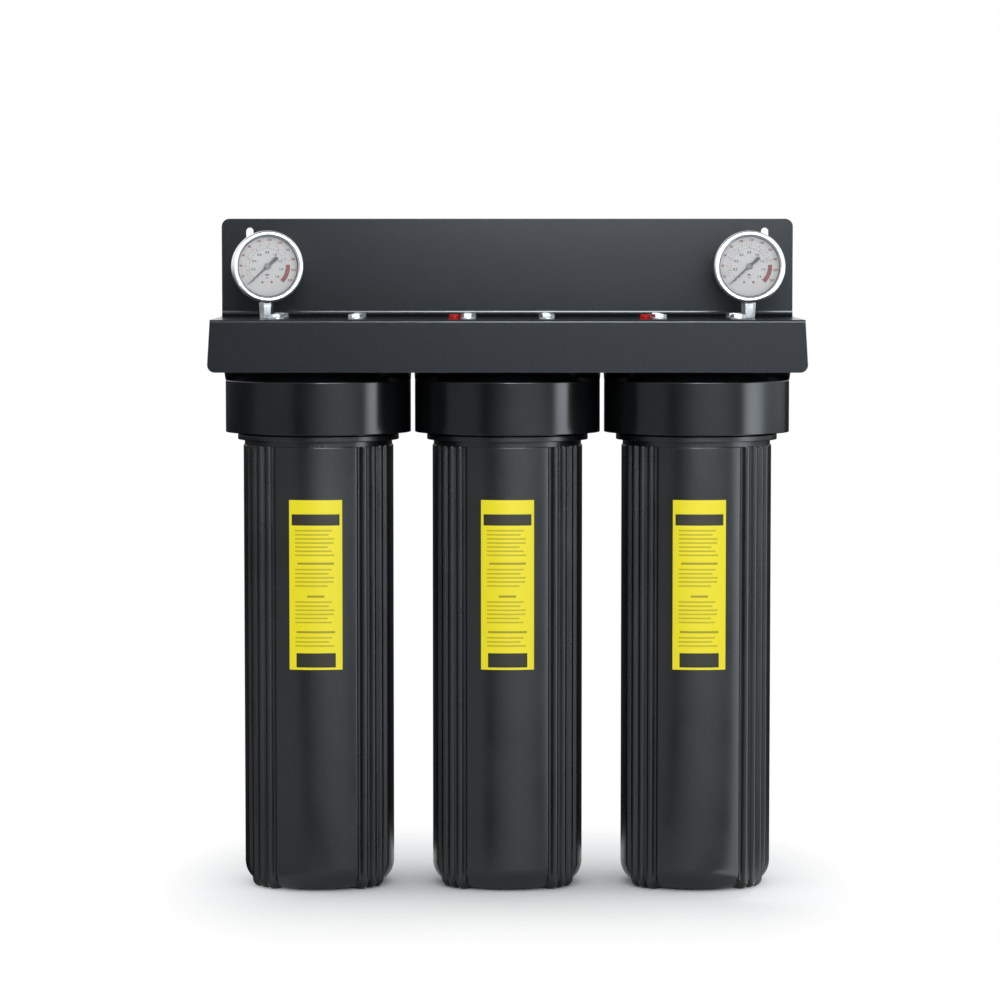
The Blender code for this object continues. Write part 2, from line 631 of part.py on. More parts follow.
def make_head(blank, stage, relief, gauge_side):
    """Bore one head for its place in the row."""
    head = copy_of(blank, "head")
    if relief:
        radius = RELIEF_BORE + RELIEF_WALL
        join(head, cylinder("boss", radius, SHOULDER_Z, HEAD_TOP - FIT_GAP, TINY_SEGMENTS,
                            RELIEF_X, RELIEF_Y))
    if gauge_side:
        radius = STEM_THREAD_RADIUS + STEM_BOSS_WALL
        join(head, cylinder("boss", radius, PORT_Z, HEAD_TOP, SMALL_SEGMENTS,
                            gauge_side * GAUGE_ASIDE))
    bore_chamber(head)

    insert = (INSERT_RADIUS + FIT_GAP, INSERT_LENGTH + FIT_GAP)
    nipple = (NIPPLE_RADIUS + FIT_GAP, NIPPLE_ENGAGEMENT + FIT_GAP)
    inlet = insert if stage == 0 else nipple
    outlet = insert if stage == STAGES - 1 else nipple
    inlet_end = DROP_RADIUS + PASSAGE_END - INLET_DROP_X
    outlet_end = DROP_RADIUS + PASSAGE_END
    cut(head, port_bore(1, *inlet, inlet_end), port_bore(-1, *outlet, outlet_end))

    hole = BOLT_RADIUS + FIT_GAP
    hole_bottom = HEAD_TOP - BOLT_LENGTH
    cut(head, *[cylinder("hole", hole, hole_bottom, HEAD_TOP + OVERRUN, 6, x, y)
                for x, y in bolt_places()])
    if relief:
        cut(head, relief_bore())
    if gauge_side:
        cut(head, cylinder("tap", STEM_THREAD_RADIUS + FIT_GAP, PORT_Z, HEAD_TOP + OVERRUN,
                           SMALL_SEGMENTS, gauge_side * GAUGE_ASIDE))
    return head


# Pieces between and on the heads

def make_nipple():
    """Pipe that joins two heads, centred on the slit between them."""
    half = HEAD_GAP / 2 + NIPPLE_ENGAGEMENT
    pipe = tube("nipple", NIPPLE_RADIUS, NIPPLE_RADIUS - NIPPLE_WALL, -half, half, SMALL_SEGMENTS)
    return lay_along_x(pipe)


def make_insert():
    """Brass thread insert, from the port's face inwards along +X."""
    insert = tube("insert", INSERT_RADIUS, PORT_THREAD_RADIUS, 0, INSERT_LENGTH, SMALL_SEGMENTS)
    return lay_along_x(insert)


def make_bolt():
    """Hexagon head on a flange, origin under the flange."""
    hexagon = BOLT_FLATS / 2 / math.cos(math.pi / 6)
    bolt = cylinder("bolt", BOLT_FLANGE_RADIUS, 0, BOLT_FLANGE_HEIGHT, TINY_SEGMENTS)
    head_top = BOLT_FLANGE_HEIGHT + BOLT_HEX_HEIGHT
    join(bolt, cylinder("hexagon", hexagon, BOLT_FLANGE_HEIGHT / 2, head_top, 6))
    return join(bolt, cylinder("shank", BOLT_RADIUS, SHEET - BOLT_LENGTH,
                               BOLT_FLANGE_HEIGHT / 2, 6))


def make_button():
    """Relief button with its stem and valve disc, heights from the floor."""
    top = SHELF_TOP + BUTTON_PROUD + BUTTON_TRAVEL
    bottom = HEAD_TOP - BUTTON_GUIDE
    seat_bottom = bottom - SPRING_ROOM - RELIEF_SEAT_LENGTH
    disc_top = seat_bottom - FIT_GAP
    disc_bottom = disc_top - VALVE_DISC_HEIGHT
    profile = [
        (0, disc_bottom), (VALVE_DISC_RADIUS, disc_bottom), (VALVE_DISC_RADIUS, disc_top),
        (RELIEF_STEM_RADIUS, disc_top), (RELIEF_STEM_RADIUS, bottom),
        (BUTTON_RADIUS, bottom), (BUTTON_RADIUS, top - BUTTON_CROWN),
        (BUTTON_RADIUS - BUTTON_CROWN, top), (0, top),
    ]
    return revolve("button", profile, TINY_SEGMENTS)


def make_spring():
    """Coil under the button, from the room's floor to the button's underside."""
    low = HEAD_TOP - BUTTON_GUIDE - SPRING_ROOM + FIT_GAP + SPRING_WIRE_RADIUS
    high = HEAD_TOP - BUTTON_GUIDE - FIT_GAP - SPRING_WIRE_RADIUS
    count = int(SPRING_TURNS * SPRING_POINTS_PER_TURN)
    curve = bpy.data.curves.new("spring", "CURVE")
    curve.dimensions = "3D"
    curve.bevel_depth = SPRING_WIRE_RADIUS
    curve.bevel_resolution = 0
    curve.use_fill_caps = True
    spline = curve.splines.new("POLY")
    spline.points.add(count)
    for i, point in enumerate(spline.points):
        angle = math.tau * i / SPRING_POINTS_PER_TURN
        height = low + (high - low) * i / count
        point.co = (SPRING_RADIUS * math.cos(angle), SPRING_RADIUS * math.sin(angle), height, 1)
    obj = bpy.data.objects.new("spring", curve)
    bpy.context.scene.collection.objects.link(obj)
    mesh = bpy.data.meshes.new_from_object(obj.evaluated_get(
        bpy.context.evaluated_depsgraph_get()))
    bpy.data.objects.remove(obj)
    spring = bpy.data.objects.new("spring", mesh)
    bpy.context.scene.collection.objects.link(spring)
    return spring


# Bracket

def corner_steps():
    """(distance from the edge, inset of the side) along a rounded sheet corner."""
    angles = [i * math.pi / 2 / BEND_STEPS for i in range(BEND_STEPS + 1)]
    return [(SHEET_CORNER * (1 - math.cos(a)), SHEET_CORNER * (1 - math.sin(a))) for a in angles]


def bracket_stations():
    """(y, z, half width) along the sheet's visible side, from top edge to flange edge."""
    back_top = SHELF_TOP + BACK_PLATE_HEIGHT
    flange_bottom = SHELF_TOP - FLANGE_HEIGHT
    flange_top = SHELF_TOP - FRONT_BEND
    half = BRACKET_HALF_WIDTH
    stations = [(BACK_REACH, back_top - drop, half - inset) for drop, inset in corner_steps()]
    for i in range(BEND_STEPS + 1):
        angle = i * math.pi / 2 / BEND_STEPS
        stations.append((BACK_REACH - BACK_BEND * (1 - math.cos(angle)),
                         SHELF_TOP + BACK_BEND * (1 - math.sin(angle)), half))
    for i in range(BEND_STEPS + 1):
        angle = i * math.pi / 2 / BEND_STEPS
        stations.append((-FRONT_REACH + FRONT_BEND * (1 - math.sin(angle)),
                         flange_top + FRONT_BEND * math.cos(angle), half))
    for rise, inset in reversed(corner_steps()):
        z = flange_bottom + rise
        flare = FLANGE_FLARE * (flange_top - z) / (flange_top - flange_bottom)
        stations.append((-FRONT_REACH, z, half + flare - inset))
    return stations


def keyhole_outline():
    """Slot with a round foot, as (x, z) points about the middle of the foot."""
    half = KEYHOLE_SLOT_WIDTH / 2
    join_angle = math.acos(half / KEYHOLE_RADIUS)
    slot_top = KEYHOLE_SLOT_LENGTH
    outline = [(half * math.cos(a), slot_top + half * math.sin(a))
               for a in (math.pi * i / KEYHOLE_STEPS for i in range(KEYHOLE_STEPS + 1))]
    sweep = math.tau - (math.pi - 2 * join_angle)
    for i in range(KEYHOLE_STEPS + 1):
        angle = math.pi - join_angle + sweep * i / KEYHOLE_STEPS
        outline.append((KEYHOLE_RADIUS * math.cos(angle), KEYHOLE_RADIUS * math.sin(angle)))
    return outline


def make_bracket():
    """Bent sheet with its bolt, button, gauge and wall holes."""
    bm = bmesh.new()
    rows = [(bm.verts.new((-half, y, z)), bm.verts.new((half, y, z)))
            for y, z, half in bracket_stations()]
    for (left, right), (next_left, next_right) in zip(rows, rows[1:]):
        bm.faces.new((left, next_left, next_right, right))
    sheet = to_object("sheet", bm)
    front_face = max(sheet.data.polygons, key=lambda face: face.area)
    if front_face.normal.z - front_face.normal.y < 0:
        sheet.data.flip_normals()
    solidify = sheet.modifiers.new("sheet", "SOLIDIFY")
    solidify.thickness = SHEET
    solidify.offset = -1
    solidify.use_even_offset = True
    bake(sheet)

    low, high = HEAD_TOP - OVERRUN, SHELF_TOP + OVERRUN
    bolt_hole = BOLT_RADIUS + BOLT_HOLE_CLEARANCE
    button_hole = BUTTON_RADIUS + BOLT_HOLE_CLEARANCE
    stem_hole = STEM_HEX_RADIUS + STEM_HOLE_CLEARANCE
    holes = []
    for stage, x in enumerate(STAGE_X):
        holes += [cylinder("hole", bolt_hole, low, high, TINY_SEGMENTS, x + dx, dy)
                  for dx, dy in bolt_places()]
        if stage > 0:
            holes.append(cylinder("hole", button_hole, low, high, TINY_SEGMENTS,
                                  x + RELIEF_X, RELIEF_Y))
    for side in (-1, 1):
        holes.append(cylinder("hole", stem_hole, low, high, SMALL_SEGMENTS,
                              side * (HEAD_PITCH + GAUGE_ASIDE)))
        keyhole = face_front(prism("keyhole", keyhole_outline(), -OVERRUN, SHEET + OVERRUN))
        foot = SHELF_TOP + BACK_PLATE_HEIGHT - KEYHOLE_DROP
        foot -= KEYHOLE_SLOT_LENGTH + KEYHOLE_SLOT_WIDTH / 2
        keyhole.data.transform(Matrix.Translation((
            side * (BRACKET_HALF_WIDTH - KEYHOLE_INSET), BACK_REACH + SHEET, foot)))
        holes.append(keyhole)
    return cut(sheet, *holes)


# Gauge

def gear_outline(pitch_radius, teeth_per_turn, teeth, start_angle):
    """Points of a toothed rim, tooth by tooth, counter-clockwise from the start angle."""
    pitch = math.tau / teeth_per_turn
    half_tip = pitch * TOOTH_WIDTH_share / 2
    half_root = half_tip * TOOTH_ROOT_share
    tip = pitch_radius + TOOTH_MODULE * TOOTH_HEIGHT_share
    root = pitch_radius - TOOTH_MODULE
    outline = []
    for i in range(teeth):
        middle = start_angle + i * pitch
        for radius, offset in ((root, -half_root), (tip, -half_tip), (tip, half_tip),
                               (root, half_root)):
            outline.append((radius * math.cos(middle + offset),
                            radius * math.sin(middle + offset)))
    return outline


def movement_levels():
    """Heights, towards the front, of the movement's two plates and its gears."""
    front_top = DIAL_FACE - DIAL_THICKNESS - FIT_GAP
    front_bottom = front_top - PLATE_THICKNESS
    back_top = front_bottom - PLATE_SPACING
    back_bottom = back_top - PLATE_THICKNESS
    return back_bottom, back_top, front_bottom, front_top


def sector_pivot():
    """Place of the sector's shaft on the dial plane."""
    return (GEAR_DISTANCE * math.cos(SECTOR_MIDDLE_ANGLE),
            GEAR_DISTANCE * math.sin(SECTOR_MIDDLE_ANGLE))


def make_pointer():
    """Pointer, hub, arbor and pinion, turning as one piece."""
    back_bottom, _, front_bottom, _ = movement_levels()
    hub_bottom = DIAL_FACE + HUB_GAP
    hub_top = hub_bottom + HUB_THICKNESS
    profile = [(0, back_bottom), (ARBOR_RADIUS, back_bottom), (ARBOR_RADIUS, hub_bottom),
               (HUB_RADIUS, hub_bottom), (HUB_RADIUS, hub_top), (0, hub_top)]
    pointer = revolve("pointer", profile, TINY_SEGMENTS)
    half = POINTER_WIDTH / 2
    behind, before = (half * share for share in POINTER_WAIST_shares)
    tip = half * POINTER_TIP_share
    edge = [(-POINTER_TAIL, half / 2), (-POINTER_TAIL + half, half), (-half, behind),
            (half, before), (POINTER_LENGTH, tip)]
    blade = [(x, -y) for x, y in edge] + edge[::-1]
    needle = prism("needle", blade, hub_bottom + HUB_THICKNESS / 3,
                   hub_bottom + HUB_THICKNESS / 3 + POINTER_THICKNESS)
    needle.data.transform(Matrix.Rotation(POINTER_REST, 4, "Z"))
    gear_top = front_bottom - GEAR_SIDE_GAP
    rim = gear_outline(PINION_RADIUS, PINION_TEETH, PINION_TEETH,
                       SECTOR_MIDDLE_ANGLE + math.pi / PINION_TEETH)
    pinion = prism("pinion", rim, gear_top - GEAR_THICKNESS, gear_top)
    return face_front(join(pointer, needle, pinion))


def make_sector():
    """Toothed sector on its shaft, origin on the shaft, drawn at the pointer's rest."""
    back_bottom, _, front_bottom, front_top = movement_levels()
    gear_top = front_bottom - GEAR_SIDE_GAP
    pitch = math.tau / SECTOR_TEETH_PER_TURN
    ratio = PINION_TEETH / SECTOR_TEETH_PER_TURN
    to_pinion = SECTOR_MIDDLE_ANGLE - math.pi
    first = to_pinion - pitch * (SECTOR_TEETH - 1) / 2
    teeth = gear_outline(SECTOR_RADIUS, SECTOR_TEETH_PER_TURN, SECTOR_TEETH, first)
    hub = HUB_RADIUS
    arm = [(hub * math.cos(to_pinion + a), hub * math.sin(to_pinion + a))
           for a in (math.pi / 2, math.pi, -math.pi / 2)]
    shift = round(POINTER_SWEEP / 2 * ratio / pitch) * pitch
    sector = prism("sector", teeth + arm, gear_top - GEAR_THICKNESS, gear_top)
    sector.data.transform(Matrix.Rotation(-shift, 4, "Z"))
    join(sector, cylinder("shaft", ARBOR_RADIUS, back_bottom, front_top, TINY_SEGMENTS))
    return face_front(sector)


def make_movement():
    """Two plates on pillars that carry the arbor and the sector's shaft."""
    back_bottom, back_top, front_bottom, front_top = movement_levels()
    px, pz = sector_pivot()
    low_x, low_z = px - PLATE_MARGIN, pz - PLATE_MARGIN
    outline_x, outline_z = (low_x, PLATE_MARGIN), (low_z, PLATE_MARGIN)
    frame = box("frame", outline_x, outline_z, (back_bottom, back_top))
    front = box("front", outline_x, outline_z, (front_bottom, front_top))
    middle = (back_bottom + back_top) / 2, (front_bottom + front_top) / 2
    pillars = [cylinder("pillar", PILLAR_RADIUS, *middle, 6, x, z) for x, z in (
        (low_x + PILLAR_INSET, low_z + PILLAR_INSET),
        (PLATE_MARGIN - PILLAR_INSET, PLATE_MARGIN - PILLAR_INSET))]
    join(frame, *pillars, front)
    hole = ARBOR_RADIUS + PIVOT_CLEARANCE
    span = (back_bottom - OVERRUN, front_top + OVERRUN)
    cut(frame, cylinder("hole", hole, *span, TINY_SEGMENTS),
        cylinder("hole", hole, *span, TINY_SEGMENTS, px, pz))
    return face_front(frame)


def make_tube():
    """Bent pressure tube, from the block round the movement to its free tip."""
    back_bottom, _, _, _ = movement_levels()
    start = math.asin((BLOCK_HALF_WIDTH + FIT_GAP) / (TUBE_RADIUS - TUBE_RADIAL / 2))
    low = back_bottom
    rings = []
    for i in range(TUBE_STEPS + 1):
        angle = -math.pi / 2 + start + TUBE_SWEEP * i / TUBE_STEPS
        ring = []
        for radius, height in ((-1, 0), (1, 0), (1, 1), (-1, 1)):
            distance = TUBE_RADIUS + radius * TUBE_RADIAL / 2
            ring.append((distance * math.cos(angle), distance * math.sin(angle),
                         low + height * TUBE_WIDTH))
        rings.append(ring)
    return face_front(loft("tube", rings))


def make_socket():
    """Stem, hexagon and inner block that carries the tube and the movement."""
    back_bottom, back_top, _, _ = movement_levels()
    case_inner = CASE_RADIUS - CASE_WALL
    hex_top = -BEZEL_RADIUS - FIT_GAP
    hex_bottom = hex_top - STEM_VISIBLE * STEM_HEX_share
    shelf = -BEZEL_RADIUS - STEM_VISIBLE
    thread_bottom = shelf - SHEET - STEM_THREAD_LENGTH
    stem_profile = [(0, shelf), (STEM_THREAD_RADIUS, shelf), (STEM_HEX_RADIUS, hex_bottom),
                    (STEM_HEX_RADIUS, hex_top), (0, hex_top)]
    socket = revolve("socket", stem_profile, 6)
    block_top = BLOCK_HEIGHT - case_inner
    join(socket,
         cylinder("thread", STEM_THREAD_RADIUS, thread_bottom, hex_bottom, TINY_SEGMENTS),
         cylinder("neck", STEM_NECK_RADIUS, hex_bottom, block_top - FIT_GAP, TINY_SEGMENTS))
    block_bottom = FIT_GAP + CASE_WALL - math.sqrt(
        CASE_RADIUS ** 2 - (BLOCK_HALF_WIDTH + CASE_WALL) ** 2)
    tongue_front = -back_bottom + FIT_GAP
    x_range = (-BLOCK_HALF_WIDTH, BLOCK_HALF_WIDTH)
    block = box("block", x_range, (-BLOCK_DEPTH / 2, tongue_front + TONGUE_THICKNESS),
                (block_bottom, block_top))
    tongue = box("tongue", x_range, (tongue_front, tongue_front + TONGUE_THICKNESS),
                 (block_bottom, PLATE_MARGIN))
    return join(socket, block, tongue)


def make_case():
    """Gauge cup with a hole for the stem's neck."""
    inner = CASE_RADIUS - CASE_WALL
    floor = CASE_WALL - CASE_BACK
    profile = [
        (0, -CASE_BACK), (CASE_RADIUS - CASE_ROUNDING, -CASE_BACK),
        (CASE_RADIUS, CASE_ROUNDING - CASE_BACK), (CASE_RADIUS, CASE_FRONT),
        (inner, CASE_FRONT), (inner, CASE_ROUNDING - CASE_BACK),
        (inner - CASE_ROUNDING + CASE_WALL, floor), (0, floor),
    ]
    case = face_front(revolve("case", profile, FACE_SEGMENTS))
    hole = STEM_NECK_RADIUS + FIT_GAP
    return cut(case, cylinder("hole", hole, -CASE_RADIUS - OVERRUN, -inner + OVERRUN,
                              TINY_SEGMENTS))


def make_bezel():
    """Rolled ring that holds the window on the case."""
    inner = BEZEL_RADIUS - BEZEL_WALL
    opening = BEZEL_RADIUS - BEZEL_FACE
    skirt = STEM_NECK_RADIUS + 2 * FIT_GAP
    lip = CASE_FRONT + WINDOW_THICKNESS + 2 * FIT_GAP
    top = lip + BEZEL_HEIGHT
    roll = BEZEL_FACE * BEZEL_ROLL_share
    profile = [
        (inner, skirt), (BEZEL_RADIUS, skirt), (BEZEL_RADIUS, top - roll),
        (BEZEL_RADIUS - roll, top), (opening + roll, top), (opening, top - roll),
        (opening, lip), (inner, lip),
    ]
    return face_front(revolve("bezel", profile, FACE_SEGMENTS, closed=True))


def make_gauge(name, place, yaw):
    """One pressure gauge as separate pieces under one parent on the pointer's axis."""
    parent = empty(name, place, yaw)
    inner = CASE_RADIUS - CASE_WALL
    window = face_front(cylinder("window", BEZEL_RADIUS - BEZEL_WALL - FIT_GAP,
                                 CASE_FRONT + FIT_GAP,
                                 CASE_FRONT + FIT_GAP + WINDOW_THICKNESS, FACE_SEGMENTS))
    dial = face_front(tube("dial", inner - DIAL_MARGIN, ARBOR_RADIUS + PIVOT_CLEARANCE,
                           DIAL_FACE - DIAL_THICKNESS, DIAL_FACE, FACE_SEGMENTS))
    pivot_x, pivot_z = sector_pivot()
    pieces = [
        ("case", make_case(), "polished_steel", (0, 0, 0)),
        ("bezel", make_bezel(), "polished_steel", (0, 0, 0)),
        ("window", window, "window_glass", (0, 0, 0)),
        ("dial", dial, "enamelled_dial", (0, 0, 0)),
        ("pointer", make_pointer(), "dark_pointer", (0, 0, 0)),
        ("sector_gear", make_sector(), "brass", (pivot_x, 0, pivot_z)),
        ("movement_frame", make_movement(), "brass", (0, 0, 0)),
        ("pressure_tube", make_tube(), "brass", (0, 0, 0)),
        ("stem", make_socket(), "nickel_plated_brass", (0, 0, 0)),
    ]
    for piece, obj, finish_name, offset in pieces:
        node(obj, f"{name}_{piece}", finish_name, parent, offset)


# Assembly

def build():
    """Make every piece and put it in its place."""
    clear_scene()
    node(make_bracket(), "mounting_bracket", "powder_coated_steel")

    sump = make_sump()
    o_ring = make_o_ring()
    blank = make_head_blank()
    bolt = make_bolt()
    button = make_button()
    spring = make_spring()
    nipple = make_nipple()
    insert = make_insert()
    media_finishes = ("sediment_fibre", "granular_cartridge", "carbon_block")
    bolt_z = SHELF_TOP + FIT_GAP

    for stage, x in enumerate(STAGE_X):
        number = stage + 1
        parent = empty(f"stage_{number}", (x, 0, 0))
        relief = stage > 0
        gauge_side = {0: -1, STAGES - 1: 1}.get(stage, 0)
        node(make_head(blank, stage, relief, gauge_side), f"head_{number}",
             "black_polypropylene", parent)
        node(copy_of(sump, "sump"), f"sump_{number}", "black_polypropylene", parent)
        node(copy_of(o_ring, "o_ring"), f"sump_o_ring_{number}", "nitrile_rubber", parent)
        pieces = make_cartridge(capped=stage > 0)
        names = ("media", "bottom_cap", "top_cap")
        finishes = (media_finishes[stage], "white_end_cap", "white_end_cap")
        for piece, name, finish_name in zip(pieces, names, finishes):
            node(piece, f"cartridge_{number}_{name}", finish_name, parent)
        for index, (dx, dy) in enumerate(bolt_places()):
            node(copy_of(bolt, "bolt"), f"head_{number}_bolt_{index + 1}", "zinc_plated_steel",
                 parent, (dx, dy, bolt_z))
        if relief:
            node(copy_of(button, "button"), f"relief_button_{number}", "red_plastic",
                 parent, (RELIEF_X, RELIEF_Y, 0))
            node(copy_of(spring, "spring"), f"relief_spring_{number}", "spring_steel",
                 parent, (RELIEF_X, RELIEF_Y, 0))
    for index in range(STAGES - 1):
        middle = (STAGE_X[index] + STAGE_X[index + 1]) / 2
        node(copy_of(nipple, "nipple"), f"head_nipple_{index + 1}", "brass",
             place=(middle, 0, PORT_Z))
    inlet = node(copy_of(insert, "insert"), "inlet_port_insert", "brass",
                 place=(STAGE_X[0] - SKIRT_RADIUS, 0, PORT_Z))
    outlet = node(copy_of(insert, "insert"), "outlet_port_insert", "brass",
                  place=(STAGE_X[-1] + SKIRT_RADIUS, 0, PORT_Z))
    outlet.rotation_euler.z = math.pi
    make_gauge("inlet_gauge", (STAGE_X[0] - GAUGE_ASIDE, 0, GAUGE_Z), GAUGE_YAWS[0])
    make_gauge("outlet_gauge", (STAGE_X[-1] + GAUGE_ASIDE, 0, GAUGE_Z), GAUGE_YAWS[1])
    for template in (sump, o_ring, blank, bolt, button, spring, nipple, insert):
        bpy.data.objects.remove(template)


build()
print("objects", len([obj for obj in bpy.data.objects if obj.type == "MESH"]))
print("size mm: pitch", round(HEAD_PITCH / MM, 2), "skirt", round(SKIRT_RADIUS / MM, 2),
      "shelf top", round(SHELF_TOP / MM, 2), "gauge z", round(GAUGE_Z / MM, 2),
      "port z", round(PORT_Z / MM, 2))
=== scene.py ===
# %% [markdown]
# # A three-stage water filter, dressed for its portrait
# Three black plastic filter housings hang in a row under one bent steel bracket, and two
# pressure gauges stand on the outer heads. The CAD model gives every piece its place and its
# real size. This lesson gives each visible piece the finer shape and the finish of the real one.
#
# The imported model is loaded first, as a fixed frame: nothing in it is moved. The dressed model
# has to stay inside its box.

# %% Load the frame
from math import acos, cos, hypot, pi, radians, sin, tau

import bmesh
import bpy
from mathutils import Matrix, Vector


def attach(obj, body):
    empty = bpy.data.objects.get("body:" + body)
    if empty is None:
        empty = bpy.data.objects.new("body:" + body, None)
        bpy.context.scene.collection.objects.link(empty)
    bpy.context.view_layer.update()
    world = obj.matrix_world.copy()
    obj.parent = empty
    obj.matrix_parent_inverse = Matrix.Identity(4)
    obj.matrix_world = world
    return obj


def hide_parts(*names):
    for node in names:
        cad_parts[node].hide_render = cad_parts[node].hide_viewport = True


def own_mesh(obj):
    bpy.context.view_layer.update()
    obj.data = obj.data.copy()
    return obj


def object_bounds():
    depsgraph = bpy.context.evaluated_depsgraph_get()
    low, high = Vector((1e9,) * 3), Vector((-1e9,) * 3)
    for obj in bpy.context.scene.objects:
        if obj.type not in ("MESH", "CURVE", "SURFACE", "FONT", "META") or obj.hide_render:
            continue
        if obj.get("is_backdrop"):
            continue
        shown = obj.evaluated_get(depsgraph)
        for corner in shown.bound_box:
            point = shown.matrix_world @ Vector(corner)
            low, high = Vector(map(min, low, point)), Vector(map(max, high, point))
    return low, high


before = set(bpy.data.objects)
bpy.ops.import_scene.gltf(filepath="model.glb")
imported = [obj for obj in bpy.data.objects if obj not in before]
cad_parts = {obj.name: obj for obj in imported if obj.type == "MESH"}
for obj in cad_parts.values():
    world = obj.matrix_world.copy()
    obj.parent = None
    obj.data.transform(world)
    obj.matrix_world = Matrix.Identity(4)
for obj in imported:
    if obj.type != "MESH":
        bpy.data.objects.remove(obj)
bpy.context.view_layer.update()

# %% [markdown]
# ## Sizes that every step shares
# All sizes are the real ones in millimetres, measured from the floor under the middle housing.
# Blender works in metres, so each helper multiplies by MM where it makes a mesh, a move or an
# input of a tree. Each step adds its own sizes where it first needs them.

# %% Shared sizes
MM = 0.001
STAGES = 3
HEAD_PITCH = 188.0
STAGE_X = [HEAD_PITCH * (stage - (STAGES - 1) / 2) for stage in range(STAGES)]
BODY_TOP = 438.8
COLLAR_BOTTOM = 444.0
COLLAR_TOP = 449.5
SKIRT_BOTTOM = 451.4
THREAD_TOP = 483.5
RIM_TOP = 497.3
SHOULDER_Z = 502.6
HEAD_TOP = 561.4
SHELF_TOP = 563.7
PORT_Z = 531.8
GAUGE_Z = 614.95
CARTRIDGE_BOTTOM = 9.3
CARTRIDGE_TOP = 509.3
SUMP_RADIUS = 74.5
SKIRT_RADIUS = 92.0
BOLT_OFFSET = 38.9
BOLT_PLACES = [(sx * BOLT_OFFSET, sy * BOLT_OFFSET) for sx in (-1, 1) for sy in (-1, 1)]
RELIEF_X = -52.4
RELIEF_Y = -38.9
GAUGE_ASIDE = 51.3

# %% [markdown]
# ## Small helpers for meshes
# Most pieces of a filter are turned, so one helper spins a profile of (radius, height) points.
# Moulded and turned pieces have no knife edges. A second helper rounds the corners of a profile
# before it is spun, which is cheaper and cleaner than a bevel on the finished mesh.

# %% Helpers for profiles and meshes
def rounded(points, radius, steps=3):
    """Round the corners of an open profile, by one radius or by a list with one for each."""
    radii = radius if isinstance(radius, list) else [radius] * (len(points) - 2)
    smooth = [points[0]]
    for before, corner, after, size in zip(points, points[1:], points[2:], radii):
        a, b, c = Vector(before), Vector(corner), Vector(after)
        if abs((a - b).normalized().dot((c - b).normalized())) > 0.999:
            smooth.append(corner)
            continue
        start = b + (a - b).normalized() * min(size, (a - b).length * 0.45)
        end = b + (c - b).normalized() * min(size, (c - b).length * 0.45)
        for i in range(steps + 1):
            t = i / steps
            point = start * (1 - t) ** 2 + b * 2 * t * (1 - t) + end * t ** 2
            smooth.append(tuple(point))
    smooth.append(points[-1])
    return smooth


def arc(radius, start, end, steps, x=0.0, y=0.0):
    """Points along an arc about (x, y), with both its ends."""
    turns = [start + (end - start) * i / steps for i in range(steps + 1)]
    return [(x + radius * cos(a), y + radius * sin(a)) for a in turns]


def at(x=0.0, y=0.0, z=0.0):
    """The move to a place."""
    return Matrix.Translation((x * MM, y * MM, z * MM))


def tidy(bm, degrees=35):
    """Merge doubles, turn all faces outwards and shade smooth except at sharp edges."""
    bmesh.ops.remove_doubles(bm, verts=bm.verts, dist=0.005 * MM)
    bmesh.ops.recalc_face_normals(bm, faces=bm.faces)
    mesh = bpy.data.meshes.new("piece")
    bm.to_mesh(mesh)
    bm.free()
    return creased(mesh, degrees)


def spun(profile, segments, closed=False):
    """Spin (radius, height) points about Z."""
    bm = bmesh.new()
    verts = [bm.verts.new((radius * MM, 0, height * MM)) for radius, height in profile]
    edges = [bm.edges.new(pair) for pair in zip(verts, verts[1:])]
    if closed:
        edges.append(bm.edges.new((verts[-1], verts[0])))
    bmesh.ops.spin(bm, geom=verts + edges, cent=(0, 0, 0), axis=(0, 0, 1),
                   angle=tau, steps=segments, use_duplicate=False)
    return tidy(bm)


def slab(outline, low, high):
    """Extrude an (x, y) outline between two heights."""
    bm = bmesh.new()
    face = bm.faces.new([bm.verts.new((x * MM, y * MM, low * MM)) for x, y in outline])
    moved = bmesh.ops.extrude_face_region(bm, geom=[face])["geom"]
    bmesh.ops.translate(bm, verts=[v for v in moved if isinstance(v, bmesh.types.BMVert)],
                        vec=(0, 0, (high - low) * MM))
    return tidy(bm)


def rod(radius, low, high, segments, x=0.0, y=0.0):
    """Upright round rod."""
    mesh = spun([(0, low), (radius, low), (radius, high), (0, high)], segments)
    mesh.transform(at(x, y))
    return mesh


def together(meshes):
    """One mesh that holds several."""
    bm = bmesh.new()
    for mesh in meshes:
        bm.from_mesh(mesh)
    merged = bpy.data.meshes.new("piece")
    bm.to_mesh(merged)
    bm.free()
    return merged


def creased(mesh, degrees):
    """Shade smooth, except over edges sharper than an angle."""
    mesh.shade_smooth()
    mesh.set_sharp_from_angle(angle=radians(degrees))
    return mesh


def placed(mesh, matrix):
    """A moved copy of a mesh."""
    twin = mesh.copy()
    twin.transform(matrix)
    return twin


def loose(data, name="work"):
    """Put a mesh, curve, lamp or camera in the scene."""
    obj = bpy.data.objects.new(name, data)
    bpy.context.scene.collection.objects.link(obj)
    return obj


def baked(obj):
    """The mesh that an object's modifiers give; the work object goes."""
    depsgraph = bpy.context.evaluated_depsgraph_get()
    mesh = bpy.data.meshes.new_from_object(obj.evaluated_get(depsgraph))
    bpy.data.objects.remove(obj)
    return mesh


def carved(mesh, operation, *tools):
    """Unite a mesh with others, or cut them out of it, one after another."""
    for tool in tools:
        obj, other = loose(mesh), loose(tool, "tool")
        modifier = obj.modifiers.new("cut", "BOOLEAN")
        modifier.operation = operation
        modifier.solver = "EXACT"
        modifier.object = other
        mesh = baked(obj)
        bpy.data.objects.remove(other)
    return mesh


